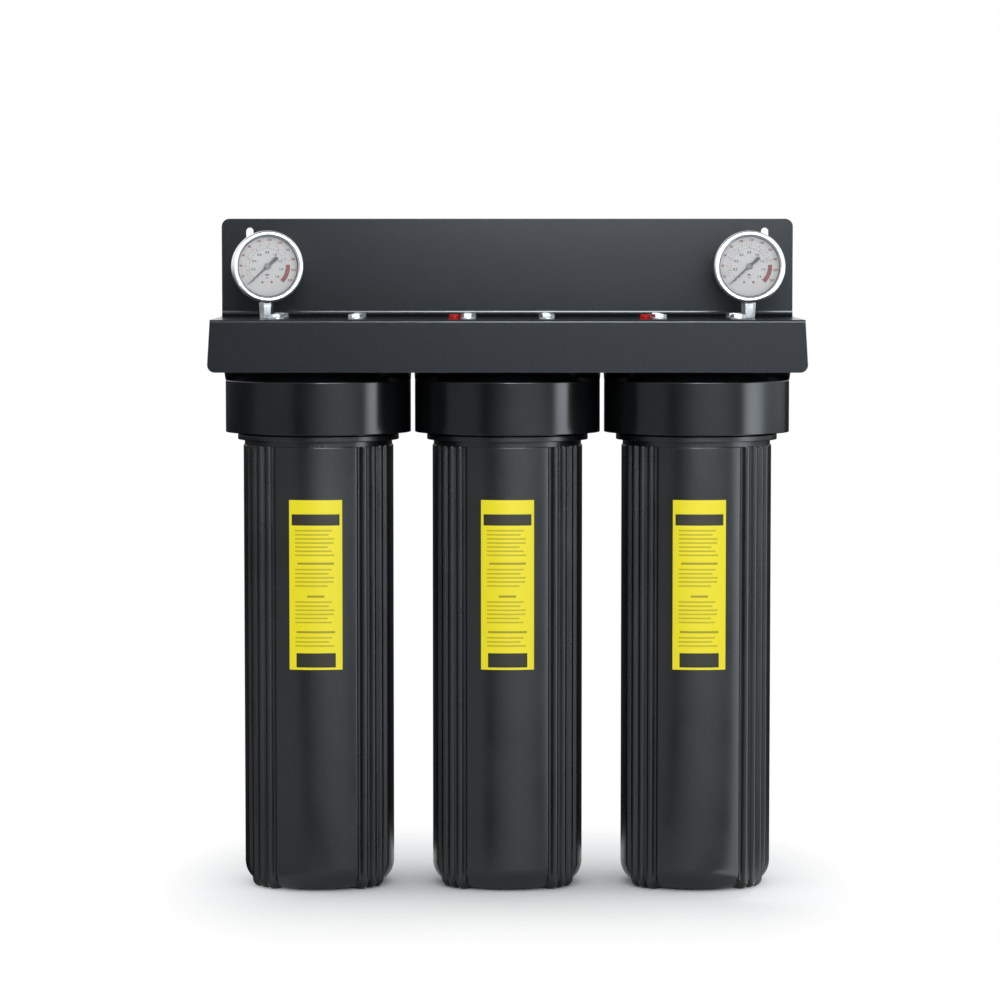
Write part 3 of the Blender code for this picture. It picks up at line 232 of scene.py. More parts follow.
def softened(mesh, width, steps=2, degrees=40):
    """Round the sharp edges of a mesh a little."""
    obj = loose(mesh)
    bevel = obj.modifiers.new("edge", "BEVEL")
    bevel.width = width * MM
    bevel.segments = steps
    bevel.limit_method = "ANGLE"
    bevel.angle_limit = radians(degrees)
    bevel.miter_outer = "MITER_ARC"
    return baked(obj)


print("helpers ready")

# %% [markdown]
# ## Small helpers for materials
# A colour is written as the sRGB hex value that the eye would pick from the real thing, and one
# function turns it to linear light. One more function adds any node, with its settings and its
# links, to a material or to a Geometry Nodes tree.

# %% Helpers for colours and nodes
def colour(code):
    """An sRGB hex colour as linear RGBA."""
    channels = [int(code[i:i + 2], 16) / 255 for i in (0, 2, 4)]
    return (*[c / 12.92 if c <= 0.04045 else ((c + 0.055) / 1.055) ** 2.4 for c in channels], 1)


MIX, NOISE, BUMP = "ShaderNodeMix", "ShaderNodeTexNoise", "ShaderNodeBump"


def feed(tree, node, inputs):
    """Set a node's inputs: a value is set, a socket or a node's first output is linked."""
    for key, value in (inputs if isinstance(inputs, dict) else dict(enumerate(inputs))).items():
        if isinstance(value, bpy.types.Node):
            value = value.outputs[0]
        if isinstance(value, bpy.types.NodeSocket):
            tree.links.new(value, node.inputs[key])
        else:
            node.inputs[key].default_value = value


def add(tree, kind, inputs=(), **settings):
    """Add a node with its settings and its inputs, which have names or numbers or are a list.

    A kind in capitals is the operation of a Math node.
    """
    if kind.isupper():
        kind, settings["operation"] = "ShaderNodeMath", kind
    new = tree.nodes.new(kind)
    for key, value in settings.items():
        setattr(new, key, value)
    feed(tree, new, inputs)
    return new


def material(name, code, roughness, **sockets):
    """A new material with its Principled shader: (material, tree, shader)."""
    made = bpy.data.materials.new(name)
    made.use_nodes = True
    tree = made.node_tree
    shader = tree.nodes["Principled BSDF"]
    feed(tree, shader, {"Base Color": colour(code), "Roughness": roughness})
    feed(tree, shader, {key.replace("_", " "): value for key, value in sockets.items()})
    return made, tree, shader


print("linear mid grey", round(colour("808080")[0], 4))

# %% [markdown]
# ## Glass-filled polypropylene
# Heads and sumps are injection moulded from glass-filled polypropylene. The heads come from a
# polished mould: they look deep black, with crisp lines of light. The sumps come from a
# spark-eroded one: the eye sees a charcoal satin on which the same light spreads out. The melt
# leaves cloudy flow marks that change the gloss over some centimetres. Real grain is about
# 0.1 mm, too fine to show from four metres, so it is drawn at 0.9 mm and very shallow.

# %% Black polypropylene
GRAIN = 0.9
FLOW_MARK = 60.0


def polypropylene(name, dark, light, shiny, dull, relief, ior):
    """Black polypropylene whose flow marks move its gloss from shiny to dull."""
    made, tree, shader = material(name, light, shiny, IOR=ior)
    place = add(tree, "ShaderNodeTexCoord").outputs["Object"]
    grain = add(tree, NOISE, {"Vector": place, "Scale": 1 / (GRAIN * MM), "Detail": 2.0})
    flow = add(tree, NOISE, {"Vector": place, "Scale": 1 / (FLOW_MARK * MM), "Detail": 3.0})
    gloss = add(tree, "ShaderNodeMapRange", {"Value": flow, "From Min": 0.3, "From Max": 0.7,
                                             "To Min": shiny, "To Max": dull})
    tint = add(tree, MIX, {0: flow, 6: colour(dark), 7: colour(light)}, data_type="RGBA")
    bump = add(tree, BUMP, {"Height": grain, "Strength": relief, "Distance": 0.05 * MM})
    feed(tree, shader, {"Base Color": tint.outputs[2], "Roughness": gloss, "Normal": bump})
    return made


glossy_pp = polypropylene("black_polypropylene_moulded_polished", "080A0B", "0D1011", 0.17, 0.22,
                          0.04, 1.49)
satin_pp = polypropylene("black_polypropylene_moulded_grained", "0A0C0D", "0F1113", 0.24, 0.32,
                         0.10, 1.54)
print(glossy_pp.name, satin_pp.name)

# %% [markdown]
# ## Powder-coated steel
# The bracket is laser-cut sheet, bent and powder coated. Powder flows into a skin with the
# shallow dimples that painters call orange peel, some millimetres across, and with a finer
# grain on top. To the eye it is a satin charcoal: dark by itself, greyer where it faces a light.

# %% Powder coat
ORANGE_PEEL = 2.6
POWDER_GRAIN = 0.7

powder_coat, tree, shader = material("charcoal_powder_coated_steel", "161A1D", 0.20, IOR=1.43)
place = add(tree, "ShaderNodeTexCoord").outputs["Object"]
peel = add(tree, NOISE, {"Vector": place, "Scale": 1 / (ORANGE_PEEL * MM), "Detail": 1.0})
grit = add(tree, NOISE, {"Vector": place, "Scale": 1 / (POWDER_GRAIN * MM), "Detail": 2.0})
height = add(tree, "ADD", (peel, grit))
bump = add(tree, BUMP, {"Height": height, "Strength": 0.10, "Distance": 0.05 * MM})
speck = add(tree, MIX, {0: grit, 6: colour("14181B"), 7: colour("1B1F23")}, data_type="RGBA")
feed(tree, shader, {"Base Color": speck.outputs[2], "Normal": bump})
print(powder_coat.name)

# %% [markdown]
# ## Metals
# Bolts are cold-headed and zinc plated, so they are bright with a faint bluish milkiness. The
# gauge cases and bezels are pressed and polished stainless steel, the stems nickel-plated brass,
# the inserts, nipples and the movement machined brass. The zinc looks milky white, the steel
# clear and silvery with soft edges to its reflections, the nickel a little warmer, and the
# turning marks on the brass draw its light out into bands. A metal keeps the default IOR; its
# colour is its reflectance.

# %% Metals
def surface(name, dark, light, roughness, pattern, depth, strength, detail, stretch=(1, 1, 1),
            **sockets):
    """Finish whose colour and relief follow a noise of a real size: (material, tree, noise)."""
    made, tree, shader = material(name, light, roughness, **sockets)
    place = add(tree, "ShaderNodeTexCoord").outputs["Object"]
    mapping = add(tree, "ShaderNodeMapping", {"Vector": place, "Scale": stretch})
    noise = add(tree, NOISE, {"Vector": mapping, "Scale": 1 / (pattern * MM), "Detail": detail})
    shade = add(tree, MIX, {0: noise, 6: colour(dark), 7: colour(light)}, data_type="RGBA")
    bump = add(tree, BUMP, {"Height": noise, "Strength": strength, "Distance": depth * MM})
    feed(tree, shader, {"Base Color": shade.outputs[2], "Normal": bump})
    return made, tree, noise


def metal(name, dark, light, roughness, pattern, depth, stretch=(1, 1, 1)):
    """Metal whose gloss varies with the noise too."""
    made, tree, noise = surface(name, dark, light, roughness, pattern, depth, 0.15, 3.0, stretch,
                                Metallic=1.0)
    gloss = add(tree, "ShaderNodeMapRange", {"Value": noise, "To Min": roughness * 0.8,
                                             "To Max": roughness * 1.3})
    feed(tree, tree.nodes["Principled BSDF"], {"Roughness": gloss})
    return made


zinc = metal("zinc_plated_steel_cold_headed", "C2C8CC", "E2E6E8", 0.30, 1.5, 0.02)
stainless = metal("stainless_steel_polished", "E6E9EB", "F3F5F6", 0.32, 9.0, 0.01)
nickel = metal("nickel_plated_brass_turned", "D2D6D8", "E9ECED", 0.26, 2.0, 0.02, (1, 1, 12))
brass = metal("brass_machined", "A8874A", "C9A964", 0.28, 1.2, 0.03, (1, 1, 8))
spring_steel = metal("spring_steel_drawn_wire", "8D9398", "AEB4B9", 0.30, 0.8, 0.01)
print("metals", zinc.name, stainless.name, nickel.name, brass.name, spring_steel.name)

# %% [markdown]
# ## Plastics, rubber and filter media
# The relief buttons are glossy red nylon, the seals nitrile rubber with a dull bloom. Inside
# stand three cartridges: melt-blown fibre, a granular cartridge in a plain white shell, and a
# pressed block of black carbon. The eye tells them by their skin: soft and fluffy, smooth as an
# egg, and rough and crumbly. None of them shows in the portrait, yet an opened model shows them.

# %% Plastics, rubber and media
def moulded(name, dark, light, roughness, pattern, depth, strength=0.3, **sockets):
    """Dull or glossy non-metal."""
    return surface(name, dark, light, roughness, pattern, depth, strength, 4.0, **sockets)[0]


red_nylon = moulded("red_nylon_moulded", "BC0006", "D00209", 0.28, 2.0, 0.02, 0.1, IOR=1.28)
nitrile = moulded("nitrile_rubber_moulded", "141516", "1D1E20", 0.62, 0.6, 0.02, IOR=1.52)
fibre = moulded("polypropylene_fibre_melt_blown", "E4E4DE", "F4F4F0", 0.92, 0.8, 0.4, 0.6)
shell_white = moulded("white_polypropylene_extruded", "DDE0DF", "EDEFEE", 0.45, 5.0,
                      0.05, 0.1, IOR=1.49)
carbon = moulded("carbon_block_pressed", "1D1D1E", "343435", 0.85, 0.9, 0.3, 0.7)
cap_white = moulded("white_end_cap_moulded", "D5D9DA", "E6E9EA", 0.42, 3.0, 0.03, 0.1, IOR=1.49)
print("plastics ready")

# %% [markdown]
# ## Bracket
# One sheet of 2 mm steel is bent twice: a plate for the wall, a shelf over the heads, and a
# flange in front of them. It could be three boxes, but the light runs along the two bends, so
# its section is drawn as a line with true bend arcs, skinned, given its thickness by Solidify,
# drilled with Boolean, and its cut edges are softened with a small bevel.

# %% Bracket sizes
SHEET = 2.0
BRACKET_HALF_WIDTH = 289.7
BACK_TOP = 662.7
FLANGE_BOTTOM = 512.4
FLANGE_FLARE = 3.0
FRONT_REACH = 88.0
BACK_REACH = 93.0
BACK_BEND = 6.0
FRONT_BEND = 2.4
SHEET_CORNER = 8.0
ARC_STEPS = 10
KEYHOLE_X = 261.1
KEYHOLE_FOOT_Z = 630.0
KEYHOLE_SLOT = 20.0
KEYHOLE_HALF_WIDTH = 3.7
KEYHOLE_RADIUS = 8.0
BOLT_HOLE, BUTTON_HOLE, STEM_HOLE = 4.5, 5.9, 8.2

quarter = [i * pi / 2 / ARC_STEPS for i in range(ARC_STEPS + 1)]
corner = [(SHEET_CORNER * (1 - cos(a)), SHEET_CORNER * (1 - sin(a))) for a in quarter]
flange_top = SHELF_TOP - FRONT_BEND
rows = [(BACK_REACH, BACK_TOP - drop, BRACKET_HALF_WIDTH - inset) for drop, inset in corner]
rows += [(BACK_REACH - BACK_BEND * (1 - cos(a)),
          SHELF_TOP + BACK_BEND * (1 - sin(a)), BRACKET_HALF_WIDTH) for a in quarter]
rows += [(-FRONT_REACH + FRONT_BEND * (1 - sin(a)),
          flange_top + FRONT_BEND * cos(a), BRACKET_HALF_WIDTH) for a in quarter]
for rise, inset in reversed(corner):
    z = FLANGE_BOTTOM + rise
    flare = FLANGE_FLARE * (flange_top - z) / (flange_top - FLANGE_BOTTOM)
    rows.append((-FRONT_REACH, z, BRACKET_HALF_WIDTH + flare - inset))
print("bracket section", len(rows), "rows")

# %% Bracket mesh
def keyhole():
    """Slot with a round foot, an (x, z) outline about the foot's middle."""
    half = KEYHOLE_HALF_WIDTH
    bend = acos(half / KEYHOLE_RADIUS)
    return (arc(half, 0, pi, 24, 0, KEYHOLE_SLOT) + arc(KEYHOLE_RADIUS, pi - bend, tau + bend, 36))


def drilled_sheet():
    """The bent sheet with all its holes."""
    bm = bmesh.new()
    pairs = [[bm.verts.new((x * MM, y * MM, z * MM)) for x in (-half, half)] for y, z, half in rows]
    for (a, b), (c, d) in zip(pairs, pairs[1:]):
        bm.faces.new((a, c, d, b))
    sheet = bpy.data.meshes.new("sheet")
    bm.to_mesh(sheet)
    bm.free()
    widest = max(sheet.polygons, key=lambda face: face.area)
    if widest.normal.z - widest.normal.y < 0:
        sheet.flip_normals()
    obj = loose(sheet)
    thick = obj.modifiers.new("sheet", "SOLIDIFY")
    thick.thickness = SHEET * MM
    thick.offset = -1
    thick.use_even_offset = True
    sheet = baked(obj)
    low, high = HEAD_TOP - 3, SHELF_TOP + 3
    holes = []
    for stage, x in enumerate(STAGE_X):
        holes += [rod(BOLT_HOLE, low, high, 32, x + dx, dy) for dx, dy in BOLT_PLACES]
        if stage:
            holes.append(rod(BUTTON_HOLE, low, high, 32, x + RELIEF_X, RELIEF_Y))
    for side in (-1, 1):
        holes.append(rod(STEM_HOLE, low, high, 32, side * (HEAD_PITCH + GAUGE_ASIDE)))
        cutter = slab(keyhole(), -3, 5)
        cutter.transform(at(side * KEYHOLE_X, BACK_REACH + SHEET, KEYHOLE_FOOT_Z)
                         @ Matrix.Rotation(pi / 2, 4, "X"))
        holes.append(cutter)
    return carved(sheet, "DIFFERENCE", together(holes))


def piece(name, mesh, finish, slot_name, body, *nodes):
    """Show a finished mesh with its material and body and hide the CAD nodes it stands for;
    slot_name is not used.
    """
    work = loose(mesh)
    work.modifiers.new("shading", "WEIGHTED_NORMAL").keep_sharp = True
    mesh = baked(work)
    mesh.name = name
    mesh.materials.clear()
    mesh.materials.append(finish)
    obj = loose(mesh, name)
    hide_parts(*nodes)
    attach(obj, body)
    return obj


bracket = softened(creased(drilled_sheet(), 30), 0.6, 3)
piece("bent_bracket", bracket, powder_coat, "powder_coated_steel", "frame", "mounting_bracket")
print("bracket faces", len(bracket.polygons))

# %% [markdown]
# ## Sump
# The long cup is the main piece, and its shape follows a rule: a plain wall with four smooth
# panels, front, back and sides, and between them four groups of four grooves. The panels run out
# in a large rounding at the foot, while the ribs between the grooves go straight down to a small
# one. Modelling sixteen grooves by hand would be slow and hard to change.
#
# So the script spins a plain cup, with more steps where grooves will lie, and writes on each
# vertex where it would be on a rib. A Geometry Nodes tree folds the angle of each vertex into a
# quarter turn, finds the nearest groove, and mixes the three places: panel, rib and groove floor.
# The section from the crown of a rib to the floor of a groove is drawn in a Float Curve, because
# its soft crown and steeper flank are what catch the thin lines of light.

# %% Sump rows
GROOVE_DEPTH = 4.8
GROOVE_SECTION = [(0.0, 0.0), (0.16, 0.02), (0.32, 0.08), (0.46, 0.24), (0.62, 0.58),
                  (0.76, 0.86), (0.88, 0.98), (1.0, 1.0)]
GROOVE_STEPS = 18
GROOVES_PER_GROUP = 4
FIRST_GROOVE = radians(36.3)
GROOVE_PITCH = radians(9.5)
PANEL_FILLET = 22.0
RIB_FILLET = 8.0
CAVITY_RADIUS = 67.0
CAVITY_FLOOR = 6.0
NECK_RADIUS = 73.3
COLLAR_RADIUS = 80.0
THREAD_ROOT = 76.6
RIM_RADIUS = 74.6
GATE_RADIUS = 9.0
GATE_DEPTH = 1.0

first_edge = FIRST_GROOVE - GROOVE_PITCH / 2
grooved = GROOVES_PER_GROUP * GROOVE_PITCH
angles = [i * first_edge / 13 for i in range(13)]
angles += [first_edge + i * GROOVE_PITCH / GROOVE_STEPS
           for i in range(GROOVES_PER_GROUP * GROOVE_STEPS + 1)]
last = angles[-1]
angles += [last + (pi / 2 - last) * i / 9 for i in range(1, 10)]
angles += [pi - a for a in reversed(angles[:-1])]
angles += [tau - a for a in reversed(angles[1:-1])]

# each row: radius and height on a panel, then radius and height on a rib, then 1 if ribbed
ribbed = [(0, GATE_DEPTH, 0, GATE_DEPTH, 0), (GATE_RADIUS, GATE_DEPTH, GATE_RADIUS, GATE_DEPTH, 0),
          (GATE_RADIUS + GATE_DEPTH, 0, GATE_RADIUS + GATE_DEPTH, 0, 0),
          (40, 0, 40, 0, 0), (50, 0, 62, 0, 1)]
for i in range(13):
    a = pi / 2 * i / 12
    ribbed.append((SUMP_RADIUS - PANEL_FILLET * (1 - sin(a)), PANEL_FILLET * (1 - cos(a)),
                   SUMP_RADIUS - RIB_FILLET * (1 - sin(a)), RIB_FILLET * (1 - cos(a)), 1))
# a row close to each rounding keeps the shading of the long straight wall flat
lip = 0.5
ribbed += [(SUMP_RADIUS, PANEL_FILLET + lip, SUMP_RADIUS, PANEL_FILLET + lip, 1),
           (SUMP_RADIUS, BODY_TOP - 1.8 * lip, SUMP_RADIUS, BODY_TOP - 1.8 * lip, 1),
           (SUMP_RADIUS, BODY_TOP - lip, SUMP_RADIUS, BODY_TOP - lip, 1),
           (SUMP_RADIUS - lip / 3, BODY_TOP - lip / 3, SUMP_RADIUS - lip / 3,
            BODY_TOP - lip / 3, 1), (SUMP_RADIUS - lip, BODY_TOP, SUMP_RADIUS - lip, BODY_TOP, 1)]
plain = rounded([
    (NECK_RADIUS, BODY_TOP), (NECK_RADIUS, COLLAR_BOTTOM), (COLLAR_RADIUS, COLLAR_BOTTOM),
    (COLLAR_RADIUS, COLLAR_TOP), (THREAD_ROOT, COLLAR_TOP), (THREAD_ROOT, THREAD_TOP),
    (RIM_RADIUS, THREAD_TOP), (RIM_RADIUS, RIM_TOP), (CAVITY_RADIUS, RIM_TOP),
    (CAVITY_RADIUS, PANEL_FILLET)], 0.9)
fillet = PANEL_FILLET - CAVITY_FLOOR
plain += arc(fillet, 0, -pi / 2, 6, CAVITY_RADIUS - fillet, PANEL_FILLET)[1:]
plain += [(23.6, CAVITY_FLOOR), (22, 9), (20.4, CAVITY_FLOOR), (13.3, CAVITY_FLOOR),
          (13.3, 15.3), (12.3, 16.3), (0, 16.3)]
cup_rows = ribbed + [(r, z, r, z, 0) for r, z in plain]
print("sump", len(angles), "angles", len(cup_rows), "rows")

# %% Sump rule in Geometry Nodes
RIB_PLACE = ("rib_radius", "rib_height", "ribbed")


def node_tree(name, inputs):
    """An empty Geometry Nodes tree with named inputs and one geometry output."""
    tree = bpy.data.node_groups.new(name, "GeometryNodeTree")
    tree.interface.new_socket("Geometry", in_out="OUTPUT", socket_type="NodeSocketGeometry")
    tree.interface.new_socket("Geometry", in_out="INPUT", socket_type="NodeSocketGeometry")
    for label, kind in inputs:
        tree.interface.new_socket(label, in_out="INPUT", socket_type=f"NodeSocket{kind}")
    return tree, add(tree, "NodeGroupInput").outputs


def close(tree, geometry, finish):
    """End a tree and return it: real geometry only, then the material."""
    solid = add(tree, "GeometryNodeRealizeInstances", {"Geometry": geometry})
    done = add(tree, "GeometryNodeSetMaterial", {"Geometry": solid, "Material": finish})
    add(tree, "NodeGroupOutput", {"Geometry": done})
    return tree


def grown(mesh, tree, values):
    """Run a tree on a mesh with these input values and return the plain mesh."""
    obj = loose(mesh)
    modifier = obj.modifiers.new("rule", "NODES")
    modifier.node_group = tree
    for item in tree.interface.items_tree:
        if item.item_type == "SOCKET" and item.in_out == "INPUT" and item.name in values:
            modifier[item.identifier] = values[item.name]
    return baked(obj)


tree, given = node_tree("ribbed_wall", [
    ("Wall radius", "Float"), ("Groove depth", "Float"), ("First groove", "Float"),
    ("Groove pitch", "Float"), ("Grooves per group", "Int"), ("Finish", "Material")])
spot = add(tree, "GeometryNodeInputPosition").outputs[0]
east, north, level = add(tree, "ShaderNodeSeparateXYZ", (spot,)).outputs
stored = {name: add(tree, "GeometryNodeInputNamedAttribute", {"Name": name},
                    data_type="FLOAT").outputs[0] for name in RIB_PLACE}
print("attributes read", list(stored))

# %% Nearest groove
front = add(tree, "MULTIPLY", (north, -1.0))
turn = add(tree, "ARCTAN2", (east, front))
folded = add(tree, "PINGPONG", (turn, pi / 2))
beyond = add(tree, "SUBTRACT", (folded, given["First groove"]))
steps = add(tree, "DIVIDE", (beyond, given["Groove pitch"]))
last_index = add(tree, "SUBTRACT", (given["Grooves per group"], 1.0))
whole = add(tree, "ROUND", (steps,))
nearest = add(tree, "ShaderNodeClamp", {"Value": whole, "Min": 0.0, "Max": last_index})
offset = add(tree, "SUBTRACT", (steps, nearest))
aside = add(tree, "ABSOLUTE", (offset,))
toward = add(tree, "MULTIPLY_ADD", (aside, -2.0, 1.0), use_clamp=True)
section = add(tree, "ShaderNodeFloatCurve", {"Value": toward})
drawn = section.mapping.curves[0].points
drawn[0].location = GROOVE_SECTION[0]
drawn[1].location = GROOVE_SECTION[-1]
for point in GROOVE_SECTION[1:-1]:
    drawn.new(*point)
section.mapping.update()
half_last = add(tree, "MULTIPLY", (last_index, 0.5))
rib_side = add(tree, "COMPARE", (steps, half_last, half_last))
print("section points", len(drawn))

# %% Place on panel, rib or groove floor
flat = add(tree, "ShaderNodeVectorMath", (spot, (1, 1, 0)), operation="MULTIPLY")
radius = add(tree, "ShaderNodeVectorMath", (flat,), operation="LENGTH").outputs["Value"]
floor_wall = add(tree, "SUBTRACT", (given["Wall radius"], given["Groove depth"]))
floor_radius = add(tree, "MINIMUM", (radius, floor_wall))
on_rib = add(tree, "MULTIPLY", (rib_side, stored["ribbed"]))
deep = add(tree, "MULTIPLY", (section, stored["ribbed"]))
outer = add(tree, MIX, {0: on_rib, 2: radius, 3: stored["rib_radius"]})
new_radius = add(tree, MIX, {0: deep, 2: outer, 3: floor_radius})
upper = add(tree, MIX, {0: on_rib, 2: level, 3: stored["rib_height"]})
new_height = add(tree, MIX, {0: deep, 2: upper, 3: level})
safe = add(tree, "MAXIMUM", (radius, 1e-6))
grow = add(tree, "DIVIDE", (new_radius, safe))
spread = add(tree, "ShaderNodeVectorMath", {0: flat, "Scale": grow}, operation="SCALE")
height = add(tree, "ShaderNodeCombineXYZ", {"Z": new_height})
goal = add(tree, "ShaderNodeVectorMath", (spread, height), operation="ADD")
moved = add(tree, "GeometryNodeSetPosition", {"Geometry": given["Geometry"], "Position": goal})
rib_tree = close(tree, moved, given["Finish"])
print("ribbed wall tree", len(rib_tree.nodes), "nodes")

# %% Sump mesh
def plain_cup():
    """Spin the rows through all angles, with the rib's place written on each vertex."""
    mesh = bpy.data.meshes.new("cup")
    verts, faces, rings, extra = [], [], [], []
    for r, z, rib_r, rib_z, allow in cup_rows:
        count = 1 if r == 0 else len(angles)
        rings.append((len(verts), count))
        for a in angles[:count]:
            verts.append((r * sin(a) * MM, -r * cos(a) * MM, z * MM))
            extra.append((rib_r * MM, rib_z * MM, allow))
    total = len(angles)
    for (low, n_low), (high, n_high) in zip(rings, rings[1:]):
        for i in range(total):
            j = (i + 1) % total
            if n_low == 1:
                faces.append((low, high + j, high + i))
            elif n_high == 1:
                faces.append((low + i, low + j, high))
            else:
                faces.append((low + i, low + j, high + j, high + i))
    mesh.from_pydata(verts, [], faces)
    for k, name in enumerate(RIB_PLACE):
        values = mesh.attributes.new(name, "FLOAT", "POINT")
        values.data.foreach_set("value", [row[k] for row in extra])
    return mesh


cup = grown(plain_cup(), rib_tree, {
    "Wall radius": SUMP_RADIUS * MM, "Groove depth": GROOVE_DEPTH * MM,
    "First groove": FIRST_GROOVE, "Groove pitch": GROOVE_PITCH,
    "Grooves per group": GROOVES_PER_GROUP, "Finish": satin_pp})
for name in RIB_PLACE:
    cup.attributes.remove(cup.attributes[name])
bm = bmesh.new()
bm.from_mesh(cup)
cup = tidy(bm, 50)
print("cup faces", len(cup.polygons), "height mm", round(max(v.co.z for v in cup.vertices) / MM, 1))

# %% [markdown]
# ## Threads
# The sump screws into its head with a coarse trapezoid thread of 6 mm pitch. A thread is a
# section that follows a helix, so Geometry Nodes draws a spiral, tapers its two ends, and runs
# the section along it. The same tree makes the ridges inside the heads.

# %% Thread rule in Geometry Nodes
THREAD_PITCH = 6.0
THREAD_START = 453.0
THREAD_TURNS = 4.6

tree, given = node_tree("thread_ridge", [
    ("Radius", "Float"), ("Pitch", "Float"), ("Turns", "Float"), ("Start height", "Float"),
    ("Height", "Float"), ("Base width", "Float"), ("Crest width", "Float"),
    ("Points per turn", "Int"), ("Finish", "Material")])
rise = add(tree, "MULTIPLY", (given["Pitch"], given["Turns"]))
spiral = add(tree, "GeometryNodeCurveSpiral", {
    "Resolution": given["Points per turn"], "Rotations": given["Turns"],
    "Start Radius": given["Radius"], "End Radius": given["Radius"], "Height": rise})
upright = add(tree, "GeometryNodeSetCurveNormal", {"Curve": spiral}, mode="Z_UP")
along = add(tree, "GeometryNodeSplineParameter")
fade_in = add(tree, "ShaderNodeMapRange", {"Value": along, "From Max": 0.03,
                                                  "To Min": 0.15, "To Max": 1.0})
fade_out = add(tree, "ShaderNodeMapRange", {"Value": along, "From Min": 0.97,
                                                   "From Max": 1.0, "To Min": 1.0, "To Max": 0.15})
taper = add(tree, "MULTIPLY", (fade_in, fade_out))
section = add(tree, "GeometryNodeCurvePrimitiveQuadrilateral", {
    "Height": given["Height"], "Bottom Width": given["Base width"],
    "Top Width": given["Crest width"], "Offset": 0.0}, mode="TRAPEZOID")
swept = add(tree, "GeometryNodeCurveToMesh", {
    "Curve": upright, "Profile Curve": section, "Fill Caps": True, "Scale": taper})
lift = add(tree, "ShaderNodeCombineXYZ", {"Z": given["Start height"]})
raised = add(tree, "GeometryNodeSetPosition", {"Geometry": swept, "Offset": lift})
thread_tree = close(tree, raised, given["Finish"])


def thread(radius, height, pitch, turns, start, base, crest, finish):
    """A helical ridge; a negative height points to the axis."""
    mesh = grown(bpy.data.meshes.new("seed"), thread_tree, {
        "Radius": (radius + height / 2) * MM, "Pitch": pitch * MM, "Turns": turns,
        "Start height": start * MM, "Height": height * MM, "Base width": base * MM,
        "Crest width": crest * MM, "Points per turn": 72, "Finish": finish})
    bm = bmesh.new()
    bm.from_mesh(mesh)
    return tidy(bm, 30)


sump_thread = thread(THREAD_ROOT - 0.2, 2.0, THREAD_PITCH, THREAD_TURNS, THREAD_START,
                     4.4, 1.8, satin_pp)
reach = max(hypot(v.co.x, v.co.y) for v in sump_thread.vertices)
least = min(hypot(v.co.x, v.co.y) for v in sump_thread.vertices)
print("thread radius mm", round(least / MM, 2), "to", round(reach / MM, 2), "z",
      round(min(v.co.z for v in sump_thread.vertices) / MM, 1),
      round(max(v.co.z for v in sump_thread.vertices) / MM, 1))

# %% Three sumps with their seals
SEAL_RADIUS, SEAL_Z, SEAL_THICK = 76.6, 485.6, 3.2
seal = spun(arc(SEAL_THICK / 2, 0, tau, 20, SEAL_RADIUS, SEAL_Z)[:-1], 144, closed=True)
for stage, x in enumerate(STAGE_X):
    shift = at(x)
    number = stage + 1
    body = f"sump_cup_{number}"
    piece(f"ribbed_sump_{number}", placed(cup, shift), satin_pp, "black_polypropylene", body,
          f"sump_{number}")
    piece(f"sump_thread_{number}", placed(sump_thread, shift), satin_pp, "black_polypropylene",
          body)
    piece(f"sump_seal_{number}", placed(seal, shift), nitrile, "nitrile_rubber", body,
          f"sump_o_ring_{number}")
print("sumps placed at mm", STAGE_X)

# %% [markdown]
# ## Heads
# Each head is one moulding: a skirt that the sump screws into, a sloping shoulder, the port
# barrel that lies across it, and bosses for the bolts, the relief valve and the gauge. The
# moulding is built as in the mould: solid forms are united, then the bores are cut. The round
# edges are in the profiles before they are spun.

# %% Head blank
CROWN_RADIUS = 60.0
CROWN_Z = 519.1
CEILING_Z = 512.6
PORT_RADIUS = 29.6
BARREL_RADIUS = 26.2
PORT_COLLAR = 16.0
PASSAGE_RADIUS = 13.0
WATER_WAY_RADIUS = 9.5
BOSS_RADIUS = 10.7
RELIEF_BOSS_RADIUS = 8.5
BOLT_BORE, GAUGE_BORE = 4.2, 5.5
THREAD_BORE = 79.3
RIM_BORE = 75.6
along_x = Matrix.Rotation(pi / 2, 4, "Y")
lying = at(z=PORT_Z) @ along_x

shell = rounded([(0, SKIRT_BOTTOM), (SKIRT_RADIUS, SKIRT_BOTTOM), (SKIRT_RADIUS, SHOULDER_Z),
    (CROWN_RADIUS, CROWN_Z), (0, CROWN_Z)], [0.8, 0.6, 2.2], 5)
inner_end = SKIRT_RADIUS - PORT_COLLAR
barrel = rounded([(0, -SKIRT_RADIUS), (PORT_RADIUS, -SKIRT_RADIUS), (PORT_RADIUS, -inner_end),
    (BARREL_RADIUS, -inner_end + 3.4), (BARREL_RADIUS, inner_end - 3.4),
    (PORT_RADIUS, inner_end), (PORT_RADIUS, SKIRT_RADIUS), (0, SKIRT_RADIUS)], 1.0)
blank = carved(spun(shell, 128), "UNION", placed(spun(barrel, 64), lying))
blank = carved(blank, "UNION", together([
    rod(BOSS_RADIUS, SHOULDER_Z, HEAD_TOP, 40, x, y) for x, y in BOLT_PLACES]))
print("head blank faces", len(blank.polygons))

# %% Head bores
chamber = [(0, SKIRT_BOTTOM - 3), (THREAD_BORE, SKIRT_BOTTOM - 3), (THREAD_BORE, 487.7),
    (RIM_BORE, 487.7), (RIM_BORE, 499.3), (58.5, CEILING_Z),
    (23.9, CEILING_Z), (22, 509.6), (20.1, CEILING_Z), (13.3, CEILING_Z),
    (13.3, 503.3), (12.3, 502.3), (0, 502.3)]
blank = carved(blank, "DIFFERENCE", spun(chamber, 128))


